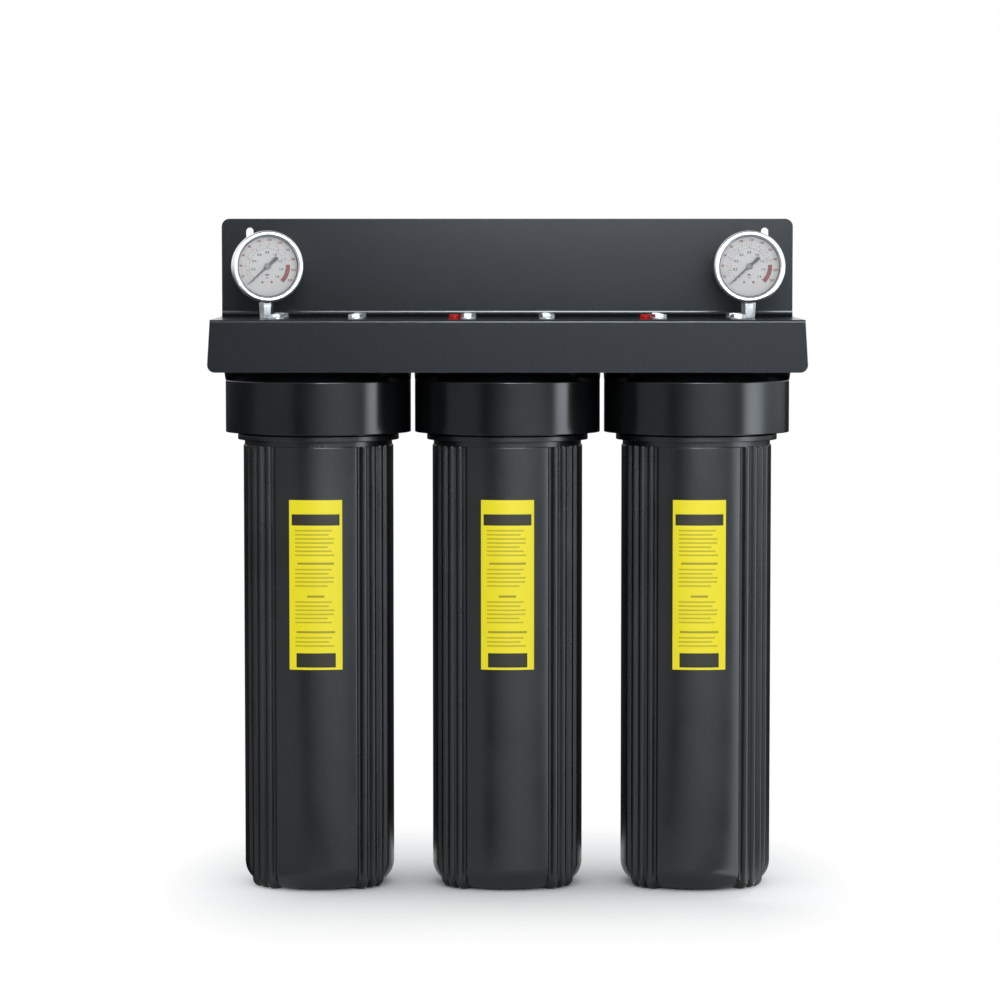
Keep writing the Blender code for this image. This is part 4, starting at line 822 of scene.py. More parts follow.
def port_bore(side, counterbore, depth, end):
    """Cutter for one port, from the face inwards."""
    face = -SKIRT_RADIUS
    profile = [(0, face - 3), (counterbore, face - 3), (counterbore, face + depth),
               (PASSAGE_RADIUS, face + depth), (PASSAGE_RADIUS, end), (0, end)]
    return placed(spun([(r, side * x) for r, x in profile], 48), lying)


def bored_head(stage):
    """Cut one head for its place in the row."""
    head = blank
    gauge_side = {0: -1, 2: 1}.get(stage, 0)
    extra = []
    if stage:
        extra.append(rod(RELIEF_BOSS_RADIUS, SHOULDER_Z, HEAD_TOP - 0.3, 32, RELIEF_X, RELIEF_Y))
    if gauge_side:
        extra.append(rod(BOSS_RADIUS, PORT_Z + 20, HEAD_TOP, 40, gauge_side * GAUGE_ASIDE))
    if extra:
        head = carved(head, "UNION", together(extra))
    insert, nipple = (21.3, 22.3), (16.8, 20.3)
    left = insert if stage == 0 else nipple
    right = insert if stage == 2 else nipple
    head = carved(head, "DIFFERENCE",
                  together([port_bore(1, *left, -30.0), port_bore(-1, *right, 11.0)]),
                  together([rod(WATER_WAY_RADIUS, CEILING_Z - 3, PORT_Z, 32, -41.0),
                            rod(WATER_WAY_RADIUS, 499.0, PORT_Z, 32)]))
    low_holes = [rod(BOLT_BORE, HEAD_TOP - 22, HEAD_TOP + 3, 24, x, y) for x, y in BOLT_PLACES]
    if gauge_side:
        low_holes.append(rod(GAUGE_BORE, PORT_Z, HEAD_TOP + 3, 24, gauge_side * GAUGE_ASIDE))
    if stage:
        relief = spun([(0, 564.4), (5.6, 564.4), (5.6, 545.4),
                       (2.0, 545.4), (2.0, 537.4), (3.4, 537.4), (3.4, 499.3), (0, 499.3)], 24)
        low_holes.append(placed(relief, at(RELIEF_X, RELIEF_Y)))
    return carved(head, "DIFFERENCE", together(low_holes))


head_thread = thread(79.4, -0.7, THREAD_PITCH, THREAD_TURNS, THREAD_START + 3, 2.6, 1.2, glossy_pp)
for stage, x in enumerate(STAGE_X):
    bored = creased(bored_head(stage), 28)
    shift = at(x)
    piece(f"housing_head_{stage + 1}", placed(bored, shift), glossy_pp, "black_polypropylene",
          "frame", f"head_{stage + 1}")
    piece(f"head_thread_{stage + 1}", placed(head_thread, shift), glossy_pp,
          "black_polypropylene", "frame")
    print("head", stage + 1, "faces", len(bored.polygons))

# %% [markdown]
# ## Fittings between and in the heads
# Short brass nipples join the heads, and a brass insert with a pipe thread is moulded into each
# outer port. The inserts are turned pieces with a chamfer, and their thread comes from the same
# spiral tree as before, at the 2.3 mm pitch of a 1 inch pipe thread.

# %% Nipples and port inserts
half = 22.0
nipple = spun(rounded([(12.5, -half + 0.01), (12.5, -half), (16.5, -half),
                       (16.5, half), (12.5, half), (12.5, half - 0.01)], 0.8), 64, closed=True)
for index in range(STAGES - 1):
    middle = (STAGE_X[index] + STAGE_X[index + 1]) / 2
    piece(f"brass_nipple_{index + 1}",
          placed(nipple, at(middle, z=PORT_Z) @ along_x), brass, "brass",
          "frame", f"head_nipple_{index + 1}")

bore = spun([(16.4, 0), (21, 0), (21, 22), (16.0, 22), (16.0, 1.6)], 72, closed=True)
pipe_thread = thread(16.1, -0.9, 2.309, 8.2, 1.9, 1.9, 0.5, brass)
insert = together([bore, pipe_thread])
for side, name in ((-1, "inlet"), (1, "outlet")):
    face = at(side * (HEAD_PITCH + SKIRT_RADIUS), z=PORT_Z)
    turned = Matrix.Rotation(0 if side < 0 else pi, 4, "Z") @ along_x
    piece(f"{name}_port_thread", placed(insert, face @ turned), brass, "brass", "frame",
          f"{name}_port_insert")
print("insert faces", len(insert.polygons))

# %% [markdown]
# ## Bolts
# Twelve flanged hexagon bolts hold the heads. One bolt is modelled with its chamfered crown and
# dished flange, and Geometry Nodes puts a copy at each place, turned by a fixed seed, because no
# fitter stops all bolts at the same angle.

# %% One bolt
BOLT_FLATS = 13.0
hexagon = BOLT_FLATS / 2 / cos(pi / 6)
prism = slab(arc(hexagon, 0, tau, 6)[:-1], 0.9, 4.5)
crown = spun([(0, -1), (9, -1), (9, 3.5), (6.2, 4.5), (0, 4.5)], 48)
bolt_head = softened(carved(prism, "INTERSECT", crown), 0.15)
flange = spun(rounded([(0, 0), (8, 0), (8, 0.8), (6.6, 1.5), (0, 1.5)], 0.3), 48)
shank = spun([(0, -20), (3.3, -20), (3.9, -19.4), (3.9, 0.5), (0, 0.5)], 24)
bolt = together([bolt_head, flange, shank])
print("bolt faces", len(bolt.polygons))

# %% Bolt rule in Geometry Nodes
tree, given = node_tree("bolts_at_points", [
    ("Bolt", "Object"), ("Turn", "Float"), ("Turn spread", "Float"), ("Seed", "Int"),
    ("Finish", "Material")])
model = add(tree, "GeometryNodeObjectInfo", {"Object": given["Bolt"]})
low = add(tree, "SUBTRACT", (given["Turn"], given["Turn spread"]))
high = add(tree, "ADD", (given["Turn"], given["Turn spread"]))
angle = add(tree, "FunctionNodeRandomValue", {
    "Min": low, "Max": high, "Seed": given["Seed"]}, data_type="FLOAT")
spin = add(tree, "ShaderNodeCombineXYZ", {"Z": angle.outputs[1]})
copies = add(tree, "GeometryNodeInstanceOnPoints", {
    "Points": given["Geometry"], "Instance": model.outputs["Geometry"], "Rotation": spin})
bolt_tree = close(tree, copies, given["Finish"])

template = loose(bolt, "bolt_template")
points = bpy.data.meshes.new("bolt_points")
points.from_pydata([((x + dx) * MM, dy * MM, (SHELF_TOP + 0.3) * MM) for x in STAGE_X
                    for dx, dy in BOLT_PLACES], [], [])
bolts = grown(points, bolt_tree, {"Bolt": template, "Turn": radians(-3),
                                  "Turn spread": radians(4), "Seed": 4, "Finish": zinc})
bpy.data.objects.remove(template)
piece("flanged_bolts", creased(bolts, 28), zinc, "zinc_plated_steel", "frame",
      *[f"head_{n}_bolt_{i}" for n in (1, 2, 3) for i in (1, 2, 3, 4)])
print("bolt object faces", len(bolts.polygons))

# %% [markdown]
# ## Relief buttons
# The middle and the last head have a red button that lets the pressure out before a sump is
# unscrewed. It is a turned shape: a domed cap with a small groove, its stem and the valve disc.
# A coil spring under the cap pushes it back up.

# %% Relief buttons
profile = [(0, 535.1), (3.0, 535.1), (3.0, 537.1), (1.6, 537.1), (1.6, 553.4), (5.2, 553.4),
           (5.2, 567.3), (4.2, 568.2), (0, 568.3)]
button = spun(rounded(profile, 0.5), 48)
for number in (2, 3):
    place = at(STAGE_X[number - 1] + RELIEF_X, RELIEF_Y)
    piece(f"red_button_{number}", placed(button, place), red_nylon, "red_plastic",
          f"relief_{number}", f"relief_button_{number}")
print("button top mm", round(max(v.co.z for v in button.vertices) / MM, 2))

# %% [markdown]
# ## Relief springs
# Each spring is drawn wire wound in four turns. A curve along a helix with a round bevel gives
# that shape with little work. It stands on the head at one length; the button squashes the real
# one.

# %% Relief springs
WIRE = 0.4
COIL_RADIUS = 3.4
COIL_LOW = 545.7
COIL_HIGH = 553.1
COIL_TURNS = 4
COIL_STEPS = 24

curve = bpy.data.curves.new("coil", "CURVE")
curve.dimensions = "3D"
curve.bevel_depth = WIRE * MM
curve.bevel_resolution = 3
curve.use_fill_caps = True
path = curve.splines.new("POLY")
path.points.add(COIL_TURNS * COIL_STEPS)
for i, point in enumerate(path.points):
    a = tau * i / COIL_STEPS
    rise = COIL_LOW + WIRE + (COIL_HIGH - COIL_LOW - 2 * WIRE) * i / (COIL_TURNS * COIL_STEPS)
    point.co = (COIL_RADIUS * cos(a) * MM, COIL_RADIUS * sin(a) * MM, rise * MM, 1)
coil = baked(loose(curve, "coil"))
coil.shade_smooth()
for number in (2, 3):
    spot = STAGE_X[number - 1] + RELIEF_X, RELIEF_Y
    spring = piece(f"coil_spring_{number}", placed(coil, at(*spot)), spring_steel,
                   "spring_steel", "frame", f"relief_spring_{number}")
    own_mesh(spring)
print("spring length mm", round(COIL_HIGH - COIL_LOW, 2))

# %% [markdown]
# ## Gauges
# Two 63 mm pressure gauges stand on their stems, one turned a little to its left. Seen from the
# front a gauge is a polished rolled bezel, a window, and under it a white dial with a shadow
# that the rim throws on it, made darker at its edge by a grey ring of painted shade under the
# glass. All its round pieces are spun about the dial's axis and then laid to the front, so each is
# drawn with its height towards the viewer.

# %% Gauge cases, bezels and windows
GAUGES = {"inlet_gauge": (-(HEAD_PITCH + GAUGE_ASIDE), radians(11.5)),
    "outlet_gauge": (HEAD_PITCH + GAUGE_ASIDE, radians(1.5)),
}
facing = {name: at(x, z=GAUGE_Z) @ Matrix.Rotation(yaw, 4, "Z")
          @ Matrix.Rotation(pi / 2, 4, "X") for name, (x, yaw) in GAUGES.items()}
BEZEL_RADIUS = 35.4
CASE_RADIUS = 33.55
CASE_INNER = 32.25

case = spun(rounded([(0, -14), (CASE_RADIUS, -14), (CASE_RADIUS, 10.5), (CASE_INNER, 10.5),
    (CASE_INNER, -12.7), (0, -12.7)], 3.2, 6), 96)
hole = rod(5.3, -37, -29, 32)
hole.transform(Matrix.Rotation(-pi / 2, 4, "X"))
case = creased(carved(case, "DIFFERENCE", hole), 30)
lip_z, opening = 13.1, 30.0
crest = (BEZEL_RADIUS + opening) / 2
roll = [(33.85, lip_z), (33.85, 5.6), (34.3, 5.2), (BEZEL_RADIUS, 5.9), (BEZEL_RADIUS, 12.6)]
roll += [(crest + (BEZEL_RADIUS - crest) * cos(a), 13.2 + 2.5 * sin(a))
         for a in (pi * i / 20 for i in range(1, 20))]
roll += [(opening, lip_z)]
bezel = spun(roll, 128, closed=True)
window = spun(rounded([(0, 10.8), (33.5, 10.8), (33.5, 12.8), (0, 12.8)], 0.3), 96)
# painted shade: a grey ring under the glass darkens the dial's edge where the rim throws shadow
rim_shade_ring = spun(rounded([(29.2, 10.1), (31.9, 10.1), (31.9, 10.7),
                       (29.2, 10.7)], 0.15), 96, closed=True)

glass, tree, shader = material("mineral_glass_float", "FFFFFF", 0.03, IOR=1.5,
                               Transmission_Weight=1.0)
place = add(tree, "ShaderNodeTexCoord").outputs["Object"]
film = add(tree, "ShaderNodeTexNoise", {"Vector": place, "Scale": 1 / (20 * MM)})
haze = add(tree, "ShaderNodeMapRange", {"Value": film, "To Min": 0.01, "To Max": 0.05})
feed(tree, shader, {"Roughness": haze})
# grey of the ring under the glass: painted shade for the rim's shadow on the dial's edge
rim_shade_grey = moulded("grey_ring_painted_rim_shade", "4C5458", "5C6468", 0.55, 1.0, 0.01)
for name, matrix in facing.items():
    piece(f"{name}_gasket", placed(rim_shade_ring, matrix), rim_shade_grey, "nitrile_rubber", "frame")
    piece(f"{name}_cup", placed(case, matrix), stainless, "polished_steel", "frame", f"{name}_case")
    piece(f"{name}_rolled_bezel", placed(bezel, matrix), stainless, "polished_steel", "frame",
          f"{name}_bezel")
    piece(f"{name}_glass", placed(window, matrix), glass, "window_glass", "frame", f"{name}_window")
print("bezel faces", len(bezel.polygons))

# %% [markdown]
# ## Gauge stems
# A stem is turned from hexagon bar: a hexagon for the wrench that narrows to the shelf, a thread
# into the head below it, and a neck above that ends in a block inside the case. The hexagon is
# built ring by ring, because it widens upwards, and a small bevel rounds its edges.

# %% Gauge stems
STEM_TOP = GAUGE_Z - 35.5
BLOCK_BACK = 7.8
BLOCK_FOOT = -30.8


def stem():
    """Hexagon that narrows to the shelf, with its thread, neck and inner block."""
    bm = bmesh.new()
    rings = []
    for z, corner in ((SHELF_TOP + 0.1, 6.1), (SHELF_TOP + 0.6, 6.4),
                      (STEM_TOP - 6, 7.2), (STEM_TOP - 0.8, 7.4), (STEM_TOP, 6.8)):
        rings.append([bm.verts.new((x * MM, y * MM, z * MM))
                      for x, y in arc(corner, 0, tau, 6)[:-1]])
    for low_ring, high_ring in zip(rings, rings[1:]):
        for i in range(6):
            j = (i + 1) % 6
            bm.faces.new((low_ring[i], low_ring[j], high_ring[j], high_ring[i]))
    bm.faces.new(rings[0][::-1])
    bm.faces.new(rings[-1])
    hexagon = softened(tidy(bm, 25), 0.3, 3, 50)
    thread_part = rod(5.0, PORT_Z + 16, SHELF_TOP + 0.3, 32)
    neck = rod(4.9, STEM_TOP - 0.3, GAUGE_Z - 30, 32)
    blocks = []
    for near, top in ((-4.5, -22.75), (4.8, 7.0)):
        bm = bmesh.new()
        bmesh.ops.create_cube(bm, size=1)
        bm.transform(at(0, (near + BLOCK_BACK) / 2, GAUGE_Z + (top + BLOCK_FOOT) / 2)
                     @ Matrix.Diagonal((14 * MM, (BLOCK_BACK - near) * MM,
                                        (top - BLOCK_FOOT) * MM, 1)))
        blocks.append(softened(tidy(bm), 0.3))
    return together([hexagon, thread_part, neck, *blocks])


stem_mesh = stem()
print("hexagon stem faces", len(stem_mesh.polygons))
for name, (x, yaw) in GAUGES.items():
    turned = at(x) @ Matrix.Rotation(yaw, 4, "Z")
    piece(f"{name}_hexagon_stem", placed(stem_mesh, turned), nickel, "nickel_plated_brass",
          "frame", f"{name}_stem")

# %% [markdown]
# ## Dials
# A dial is printed white enamel: black marks for the inner scale, finer red ones for the outer
# scale, a red arc where the pressure is too high, plain numbers and the two units. The enamel
# gives the eye an even, slightly bluish white, and the inks sit on it thin and matt. Marks repeat
# along an arc, so Geometry Nodes sets a thin plate at each place, with a longer one at every
# fourth or fifth. The numbers are text objects turned into meshes.

# %% Dial plate and its inks
DIAL_FACE = 6.4
INK = 0.05
INK_SPREAD = 0.09
SCALE_START = radians(225)
SCALE_SWEEP = radians(270)
FULL_SCALE = 1.6

dial_enamel = moulded("white_enamel_printed_aluminium", "F8F9FA", "FBFCFC", 0.42, 12.0,
                      0.02, 0.05, IOR=1.5)
black_ink = moulded("black_screen_ink", "232629", "2B2E31", 0.5, 1.0, 0.01, 0.1)
red_ink = moulded("red_screen_ink", "A3383C", "B24246", 0.5, 1.0, 0.01, 0.1)
grey_ink = moulded("grey_screen_ink", "6B7074", "777C80", 0.5, 1.0, 0.01, 0.1)
plate = spun(rounded([(1.3, 5.6), (31.4, 5.6), (31.4, DIAL_FACE),
                      (1.3, DIAL_FACE)], 0.2), 96, closed=True)

# %% Scale rule in Geometry Nodes
tree, given = node_tree("scale_marks", [
    ("Count", "Int"), ("Start angle", "Float"), ("Sweep", "Float"), ("Inner radius", "Float"),
    ("Length", "Float"), ("Width", "Float"), ("Long every", "Int"), ("Long share", "Float"),
    ("Height", "Float"), ("Thickness", "Float"), ("Finish", "Material")])
line = add(tree, "GeometryNodeMeshLine", {"Count": given["Count"]})
index = add(tree, "GeometryNodeInputIndex")
gaps = add(tree, "SUBTRACT", (given["Count"], 1.0))
share = add(tree, "DIVIDE", (index, gaps))
swung = add(tree, "MULTIPLY", (share, given["Sweep"]))
bearing = add(tree, "SUBTRACT", (given["Start angle"], swung))
beat = add(tree, "FLOORED_MODULO", (index, given["Long every"]))
is_long = add(tree, "COMPARE", (beat, 0.0, 0.1))
longer = add(tree, MIX, {0: is_long, 2: 1.0, 3: given["Long share"]})
wider = add(tree, MIX, {0: is_long, 2: 1.0, 3: 1.6})
length = add(tree, "MULTIPLY", (given["Length"], longer))
width = add(tree, "MULTIPLY", (given["Width"], wider))
middle = add(tree, "MULTIPLY_ADD", (length, 0.5, given["Inner radius"]))
out = add(tree, "ShaderNodeCombineXYZ", {"X": middle, "Z": given["Height"]})
spot = add(tree, "ShaderNodeVectorRotate", {"Vector": out, "Angle": bearing},
           rotation_type="Z_AXIS")
spread = add(tree, "GeometryNodeSetPosition", {"Geometry": line, "Position": spot})
mark = add(tree, "GeometryNodeMeshCube", {"Size": (1, 1, 1)})
size = add(tree, "ShaderNodeCombineXYZ", {"X": length, "Y": width, "Z": given["Thickness"]})
turned = add(tree, "ShaderNodeCombineXYZ", {"Z": bearing})
marks = add(tree, "GeometryNodeInstanceOnPoints", {
    "Points": spread, "Instance": mark, "Rotation": turned, "Scale": size})
scale_tree = close(tree, marks, given["Finish"])


def scale(count, start, sweep, inner, length, width, every, share, finish):
    """Marks of one scale on the dial plane."""
    return grown(bpy.data.meshes.new("seed"), scale_tree, {
        "Count": count, "Start angle": start, "Sweep": sweep, "Inner radius": inner * MM,
        "Length": length * MM, "Width": width * MM, "Long every": every, "Long share": share,
        "Height": (DIAL_FACE + INK / 2) * MM, "Thickness": INK * MM, "Finish": finish})


def bearing_of(value):
    """Angle of a value of the inner scale."""
    return SCALE_START - SCALE_SWEEP * value / FULL_SCALE


OUTER_UNIT = 0.0068948      # one unit of the outer scale in units of the inner one
OUTER_TOP = 230
black_marks = scale(41, SCALE_START, SCALE_SWEEP, 17.3, 1.5, 0.30, 5, 2.1, black_ink)
red_marks = scale(47, SCALE_START, SCALE_START - bearing_of(OUTER_TOP * OUTER_UNIT), 20.6,
                  1.3, 0.24, 4, 2.0, red_ink)
print("marks", len(black_marks.polygons), len(red_marks.polygons))

# %% Numbers, warning arc and dots
def number(text, height, bearing, radius):
    """A number lying on the dial, upright, its middle on the given place."""
    curve = bpy.data.curves.new("number", "FONT")
    curve.body = text
    curve.size = height * MM
    curve.align_x = curve.align_y = "CENTER"
    curve.extrude = INK / 2 * MM
    curve.offset = INK_SPREAD * MM
    curve.resolution_u = 3
    mesh = baked(loose(curve))
    mesh.transform(at(radius * cos(bearing), radius * sin(bearing), DIAL_FACE + INK / 2))
    return mesh


def arc_plate(inner, outer, start, end, steps=40):
    """Thin curved band on the dial."""
    outline = arc(outer, start, end, steps) + arc(inner, end, start, steps)
    return slab(outline, DIAL_FACE, DIAL_FACE + INK)


values = [round(0.2 * i, 1) for i in range(9)]
units = [number("MPa", 2.3, -pi / 2, 8.4), number("psi", 2.0, -pi / 2, 11.0)]
inner_numbers = [number("0" if v == 0 else f"{v:.1f}", 3.4, bearing_of(v), 14.0) for v in values]
outer_numbers = [number(str(v), 3.2, bearing_of(v * OUTER_UNIT), 26.4)
                 for v in range(20, OUTER_TOP, 20)]
zone = arc_plate(18.6, 22.7, radians(5), radians(-45))
grey_dot = rod(1.2, DIAL_FACE, DIAL_FACE + INK, 24, -5.0, -15.4)
red_dot = rod(1.2, DIAL_FACE, DIAL_FACE + INK, 24, 4.2, -15.4)
prints = {"black_scale": (together([black_marks, *inner_numbers, units[0]]), black_ink),
    "red_scale": (together([red_marks, *outer_numbers, zone, red_dot, units[1]]), red_ink),
    "grey_dot": (grey_dot, grey_ink),
}
for name, matrix in facing.items():
    piece(f"{name}_dial_plate", placed(plate, matrix), dial_enamel, "enamelled_dial", "frame",
          f"{name}_dial")
    for label, (mesh, ink) in prints.items():
        piece(f"{name}_{label}", placed(mesh, matrix), ink, "enamelled_dial", "frame")
print("black print faces", len(prints["black_scale"][0].polygons))

# %% [markdown]
# ## Pointers
# A pointer is stamped from thin sheet: a long needle, a wide round-ended tail that balances it,
# and a dull turned hub pressed on the arbor. The needle is sprayed dark grey, matt enough to be
# read from any side. Behind the dial the arbor carries the pinion that the brass
# sector turns, so the same toothed outline as in the CAD is drawn again.

# %% Pointers
POINTER_REST = radians(222)
SECTOR_BEARING = radians(225)


def toothed(pitch_radius, teeth, module):
    """Outline of a small gear."""
    outline = []
    for i in range(teeth):
        middle = SECTOR_BEARING + pi / teeth + tau * i / teeth
        tip, root = tau / teeth * 0.12, tau / teeth * 0.21
        for r, a in ((pitch_radius - module, -root), (pitch_radius + 0.8 * module, -tip),
                     (pitch_radius + 0.8 * module, tip), (pitch_radius - module, root)):
            outline.append((r * cos(middle + a), r * sin(middle + a)))
    return outline


side = arc(1.9, pi, pi / 2, 8, -11.8) + [(-8, 1.5), (-2.0, 1.25), (2.0, 1.0),
               (12, 0.65), (27.3, 0.28)]
needle = softened(slab([(x, -y) for x, y in side[1:]] + side[::-1], 7.8, 8.4), 0.1)
needle.transform(Matrix.Rotation(POINTER_REST, 4, "Z"))
hub = spun(rounded([(0, -4.3), (0.9, -4.3), (0.9, 7.2), (3.1, 7.2), (3.1, 8.7), (2.4, 9.0),
                    (0, 9.0)], 0.2), 48)
pinion = slab(toothed(3.2, 8, 0.8), 1.3, 2.9)
pointer = together([needle, pinion])
pointer_paint = moulded("dark_grey_paint_sprayed", "4A4E52", "565A5E", 0.4, 1.0, 0.01, 0.1)
hub_metal = metal("aluminium_turned_dull", "6E7275", "85898C", 0.42, 0.8, 0.01)
for name, matrix in facing.items():
    piece(f"{name}_needle", placed(pointer, matrix), pointer_paint, "dark_pointer",
          f"{name}_pointer_body", f"{name}_pointer")
    piece(f"{name}_pointer_hub", placed(hub, matrix), hub_metal, "dark_pointer",
          f"{name}_pointer_body")
print("pointer faces", len(pointer.polygons) + len(hub.polygons))

# %% [markdown]
# ## Stickers
# Each sump carries a tall yellow sticker on its front panel. It is a thin curved sheet just off
# the wall, vinyl with a soft shine of its own that shows how the wall curves. Its print is a
# procedural material that reads the sticker's own UV map: a black band at the head and one at
# the foot, both bare, and blocks of thin olive rules between them.

# %% Sticker mesh
STICKER_LOW = 220.4
STICKER_HIGH = 387.3
STICKER_WIDTH = 53.0
STICKER_THICKNESS = 0.15


def sticker():
    """Curved sheet with a UV map from 0 to 1 across and up."""
    columns, levels = 32, 8
    radius = SUMP_RADIUS + 0.02
    half = STICKER_WIDTH / 2 / radius
    verts, faces, flat = [], [], []
    for j in range(levels + 1):
        for i in range(columns + 1):
            a = -half + 2 * half * i / columns
            z = STICKER_LOW + (STICKER_HIGH - STICKER_LOW) * j / levels
            verts.append((radius * sin(a) * MM, -radius * cos(a) * MM, z * MM))
            flat.append((i / columns, j / levels))
    for j in range(levels):
        for i in range(columns):
            k = j * (columns + 1) + i
            faces.append((k, k + 1, k + columns + 2, k + columns + 1))
    mesh = bpy.data.meshes.new("sticker")
    mesh.from_pydata(verts, [], faces)
    uv = mesh.uv_layers.new(name="print")
    for loop in mesh.loops:
        uv.data[loop.index].uv = flat[loop.vertex_index]
    mesh.shade_smooth()
    obj = loose(mesh)
    thick = obj.modifiers.new("film", "SOLIDIFY")
    thick.thickness = STICKER_THICKNESS * MM
    thick.offset = 1
    return baked(obj)


label_mesh = sticker()
print("sticker radius mm", round(max(hypot(v.co.x, v.co.y) for v in label_mesh.vertices) / MM, 2))

# %% Sticker print
# each bar: its middle and half height from the top, its left and right end, all as shares
HEAD_BAR = (0.11645, 0.03295, 0.05, 0.95)
FOOT_BAR = (0.944, 0.0424, 0.135, 0.871)
TITLE_BARS = [(0.3734, 0.0065, 0.16, 0.84), (0.5669, 0.0065, 0.34, 0.66),
              (0.7773, 0.0065, 0.14, 0.86)]
RULE_PITCH = 0.0241
RULE_BLOCKS = [(0.168, 7), (0.397, 5), (0.588, 6), (0.799, 3)]
RULE_LEFT, RULE_RIGHT, RULE_RAGGED = 0.115, 0.72, 0.14
RULE_MIDDLE, RULE_HALF = 0.48, 0.2
PALE_INK, STRONG_INK = 0.42, 0.62
FILM_COLOUR = "E6D700"

sticker_film, tree, shader = material("yellow_vinyl_film_printed", FILM_COLOUR, 0.38, IOR=1.36)
flat = add(tree, "ShaderNodeUVMap", uv_map="print")
cross, up, _ = add(tree, "ShaderNodeSeparateXYZ", (flat,)).outputs
down = add(tree, "SUBTRACT", (1.0, up))
bars = []
for middle, half, left, right in (HEAD_BAR, FOOT_BAR, *TITLE_BARS):
    high = add(tree, "COMPARE", (down, middle, half))
    wide = add(tree, "COMPARE", (cross, (left + right) / 2, (right - left) / 2))
    bars.append(add(tree, "MULTIPLY", (high, wide)))
print("bars", len(bars))

# %% Rules of the print
left_edge = add(tree, "GREATER_THAN", (cross, RULE_LEFT))
ink = 0.0
for start, count in RULE_BLOCKS:
    row = add(tree, "MULTIPLY_ADD", (down, 1 / RULE_PITCH, -start / RULE_PITCH))
    inside = add(tree, "COMPARE", (row, count / 2, count / 2))
    within = add(tree, "FRACT", (row,))
    stripe = add(tree, "COMPARE", (within, RULE_MIDDLE, RULE_HALF))
    number_of_row = add(tree, "FLOOR", (row,))
    ragged = add(tree, "ShaderNodeTexWhiteNoise", {"W": number_of_row}, noise_dimensions="1D")
    end = add(tree, "MULTIPLY_ADD", (ragged.outputs["Value"], RULE_RAGGED, RULE_RIGHT))
    right_edge = add(tree, "LESS_THAN", (cross, end))
    reach = add(tree, "MULTIPLY", (left_edge, right_edge))
    drawn = add(tree, "MULTIPLY", (inside, stripe))
    rule = add(tree, "MULTIPLY", (drawn, reach))
    ink = add(tree, "MAXIMUM", (rule, ink))
pale = add(tree, "MULTIPLY", (ink, PALE_INK))
for bar in bars[2:]:
    strong = add(tree, "MULTIPLY", (bar, STRONG_INK))
    pale = add(tree, "MAXIMUM", (pale, strong))
olive = add(tree, MIX, {0: pale, 6: colour(FILM_COLOUR), 7: colour("4A4508")}, data_type="RGBA")
bands = add(tree, "MAXIMUM", (bars[0], bars[1]))
printed = add(tree, MIX, {0: bands, 6: olive.outputs[2], 7: colour("2A291C")}, data_type="RGBA")
tree.links.new(printed.outputs[2], shader.inputs["Base Color"])
for stage, x in enumerate(STAGE_X):
    piece(f"yellow_sticker_{stage + 1}", placed(label_mesh, at(x)),
          sticker_film, "black_polypropylene", f"sump_cup_{stage + 1}")
print("sticker print nodes", len(tree.nodes))

# %% [markdown]
# ## Cartridges and the other inner pieces
# The cartridges fill the sumps. They are spun finer than in the CAD, with the wound surface of
# melt-blown fibre on the first and rounded caps on the others. The brass movements behind the
# dials keep their CAD shape and only get their real finish.

# %% Cartridges
CARTRIDGE_RADIUS = 57.0
CORE_RADIUS = 14.3
wound = [(CORE_RADIUS, CARTRIDGE_BOTTOM), (CARTRIDGE_RADIUS - 0.6, CARTRIDGE_BOTTOM)]
rings = 82
for i in range(rings):
    z = CARTRIDGE_BOTTOM + 4 + (CARTRIDGE_TOP - CARTRIDGE_BOTTOM - 8) * i / (rings - 1)
    wound.append((CARTRIDGE_RADIUS - (0 if i % 2 else 0.5), z))
wound += [(CARTRIDGE_RADIUS - 0.6, CARTRIDGE_TOP), (CORE_RADIUS, CARTRIDGE_TOP)]
piece("melt_blown_cartridge", placed(spun(wound, 64, closed=True), at(STAGE_X[0])), fibre,
      "sediment_fibre", "cartridge_1", "cartridge_1_media")
low, high = CARTRIDGE_BOTTOM + 6, CARTRIDGE_TOP - 6
tube, bottom_cap, top_cap = [
    spun(rounded([(CORE_RADIUS, foot), (radius, foot), (radius, top), (CORE_RADIUS, top)], 1.0),
         96, closed=True) for radius, foot, top in ((CARTRIDGE_RADIUS - 0.6, low + 0.3, high - 0.3),
                              (CARTRIDGE_RADIUS, CARTRIDGE_BOTTOM, low),
                              (CARTRIDGE_RADIUS, high, CARTRIDGE_TOP))]
for number, name, finish, slot_name in (
        (2, "granular_cartridge", shell_white, "granular_cartridge"),
        (3, "carbon_block_cartridge", carbon, "carbon_block")):
    shift = at(STAGE_X[number - 1])
    body = f"cartridge_{number}"
    piece(name, placed(tube, shift), finish, slot_name, body, f"cartridge_{number}_media")
    piece(f"{name}_foot", placed(bottom_cap, shift), cap_white, "white_end_cap", body,
          f"cartridge_{number}_bottom_cap")
    piece(f"{name}_crown", placed(top_cap, shift), cap_white, "white_end_cap", body,
          f"cartridge_{number}_top_cap")
print("cartridge rings", rings)

# %% Finishes of the CAD nodes that stay
for name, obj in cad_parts.items():
    if name.endswith(("sector_gear", "movement_frame", "pressure_tube")):
        for spot in obj.material_slots:
            spot.material = brass
shown = sorted(name for name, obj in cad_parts.items() if not obj.hide_render)
print("CAD nodes shown", shown)

# %% [markdown]
# ## Studio
# The filter stands on a pale floor against white, as in a catalogue. A large softbox at the front
# right and the white room light it. Black plastic shows little but what it mirrors, so cards
# stand round it, as a photographer would set them. One is graded all the way round: bright at the
# front right, which gives the light half of each panel, brighter in a strip at the right, which
# draws the sharp line on the heads, and dark between and behind. A shorter one above it is for
# the flange, a bright bar above that for the back plate, and a black one overhead for the shelf.
# Only reflections see the cards, so they take no light from the scene, and metal and glass still
# mirror the white backdrop between and above them.

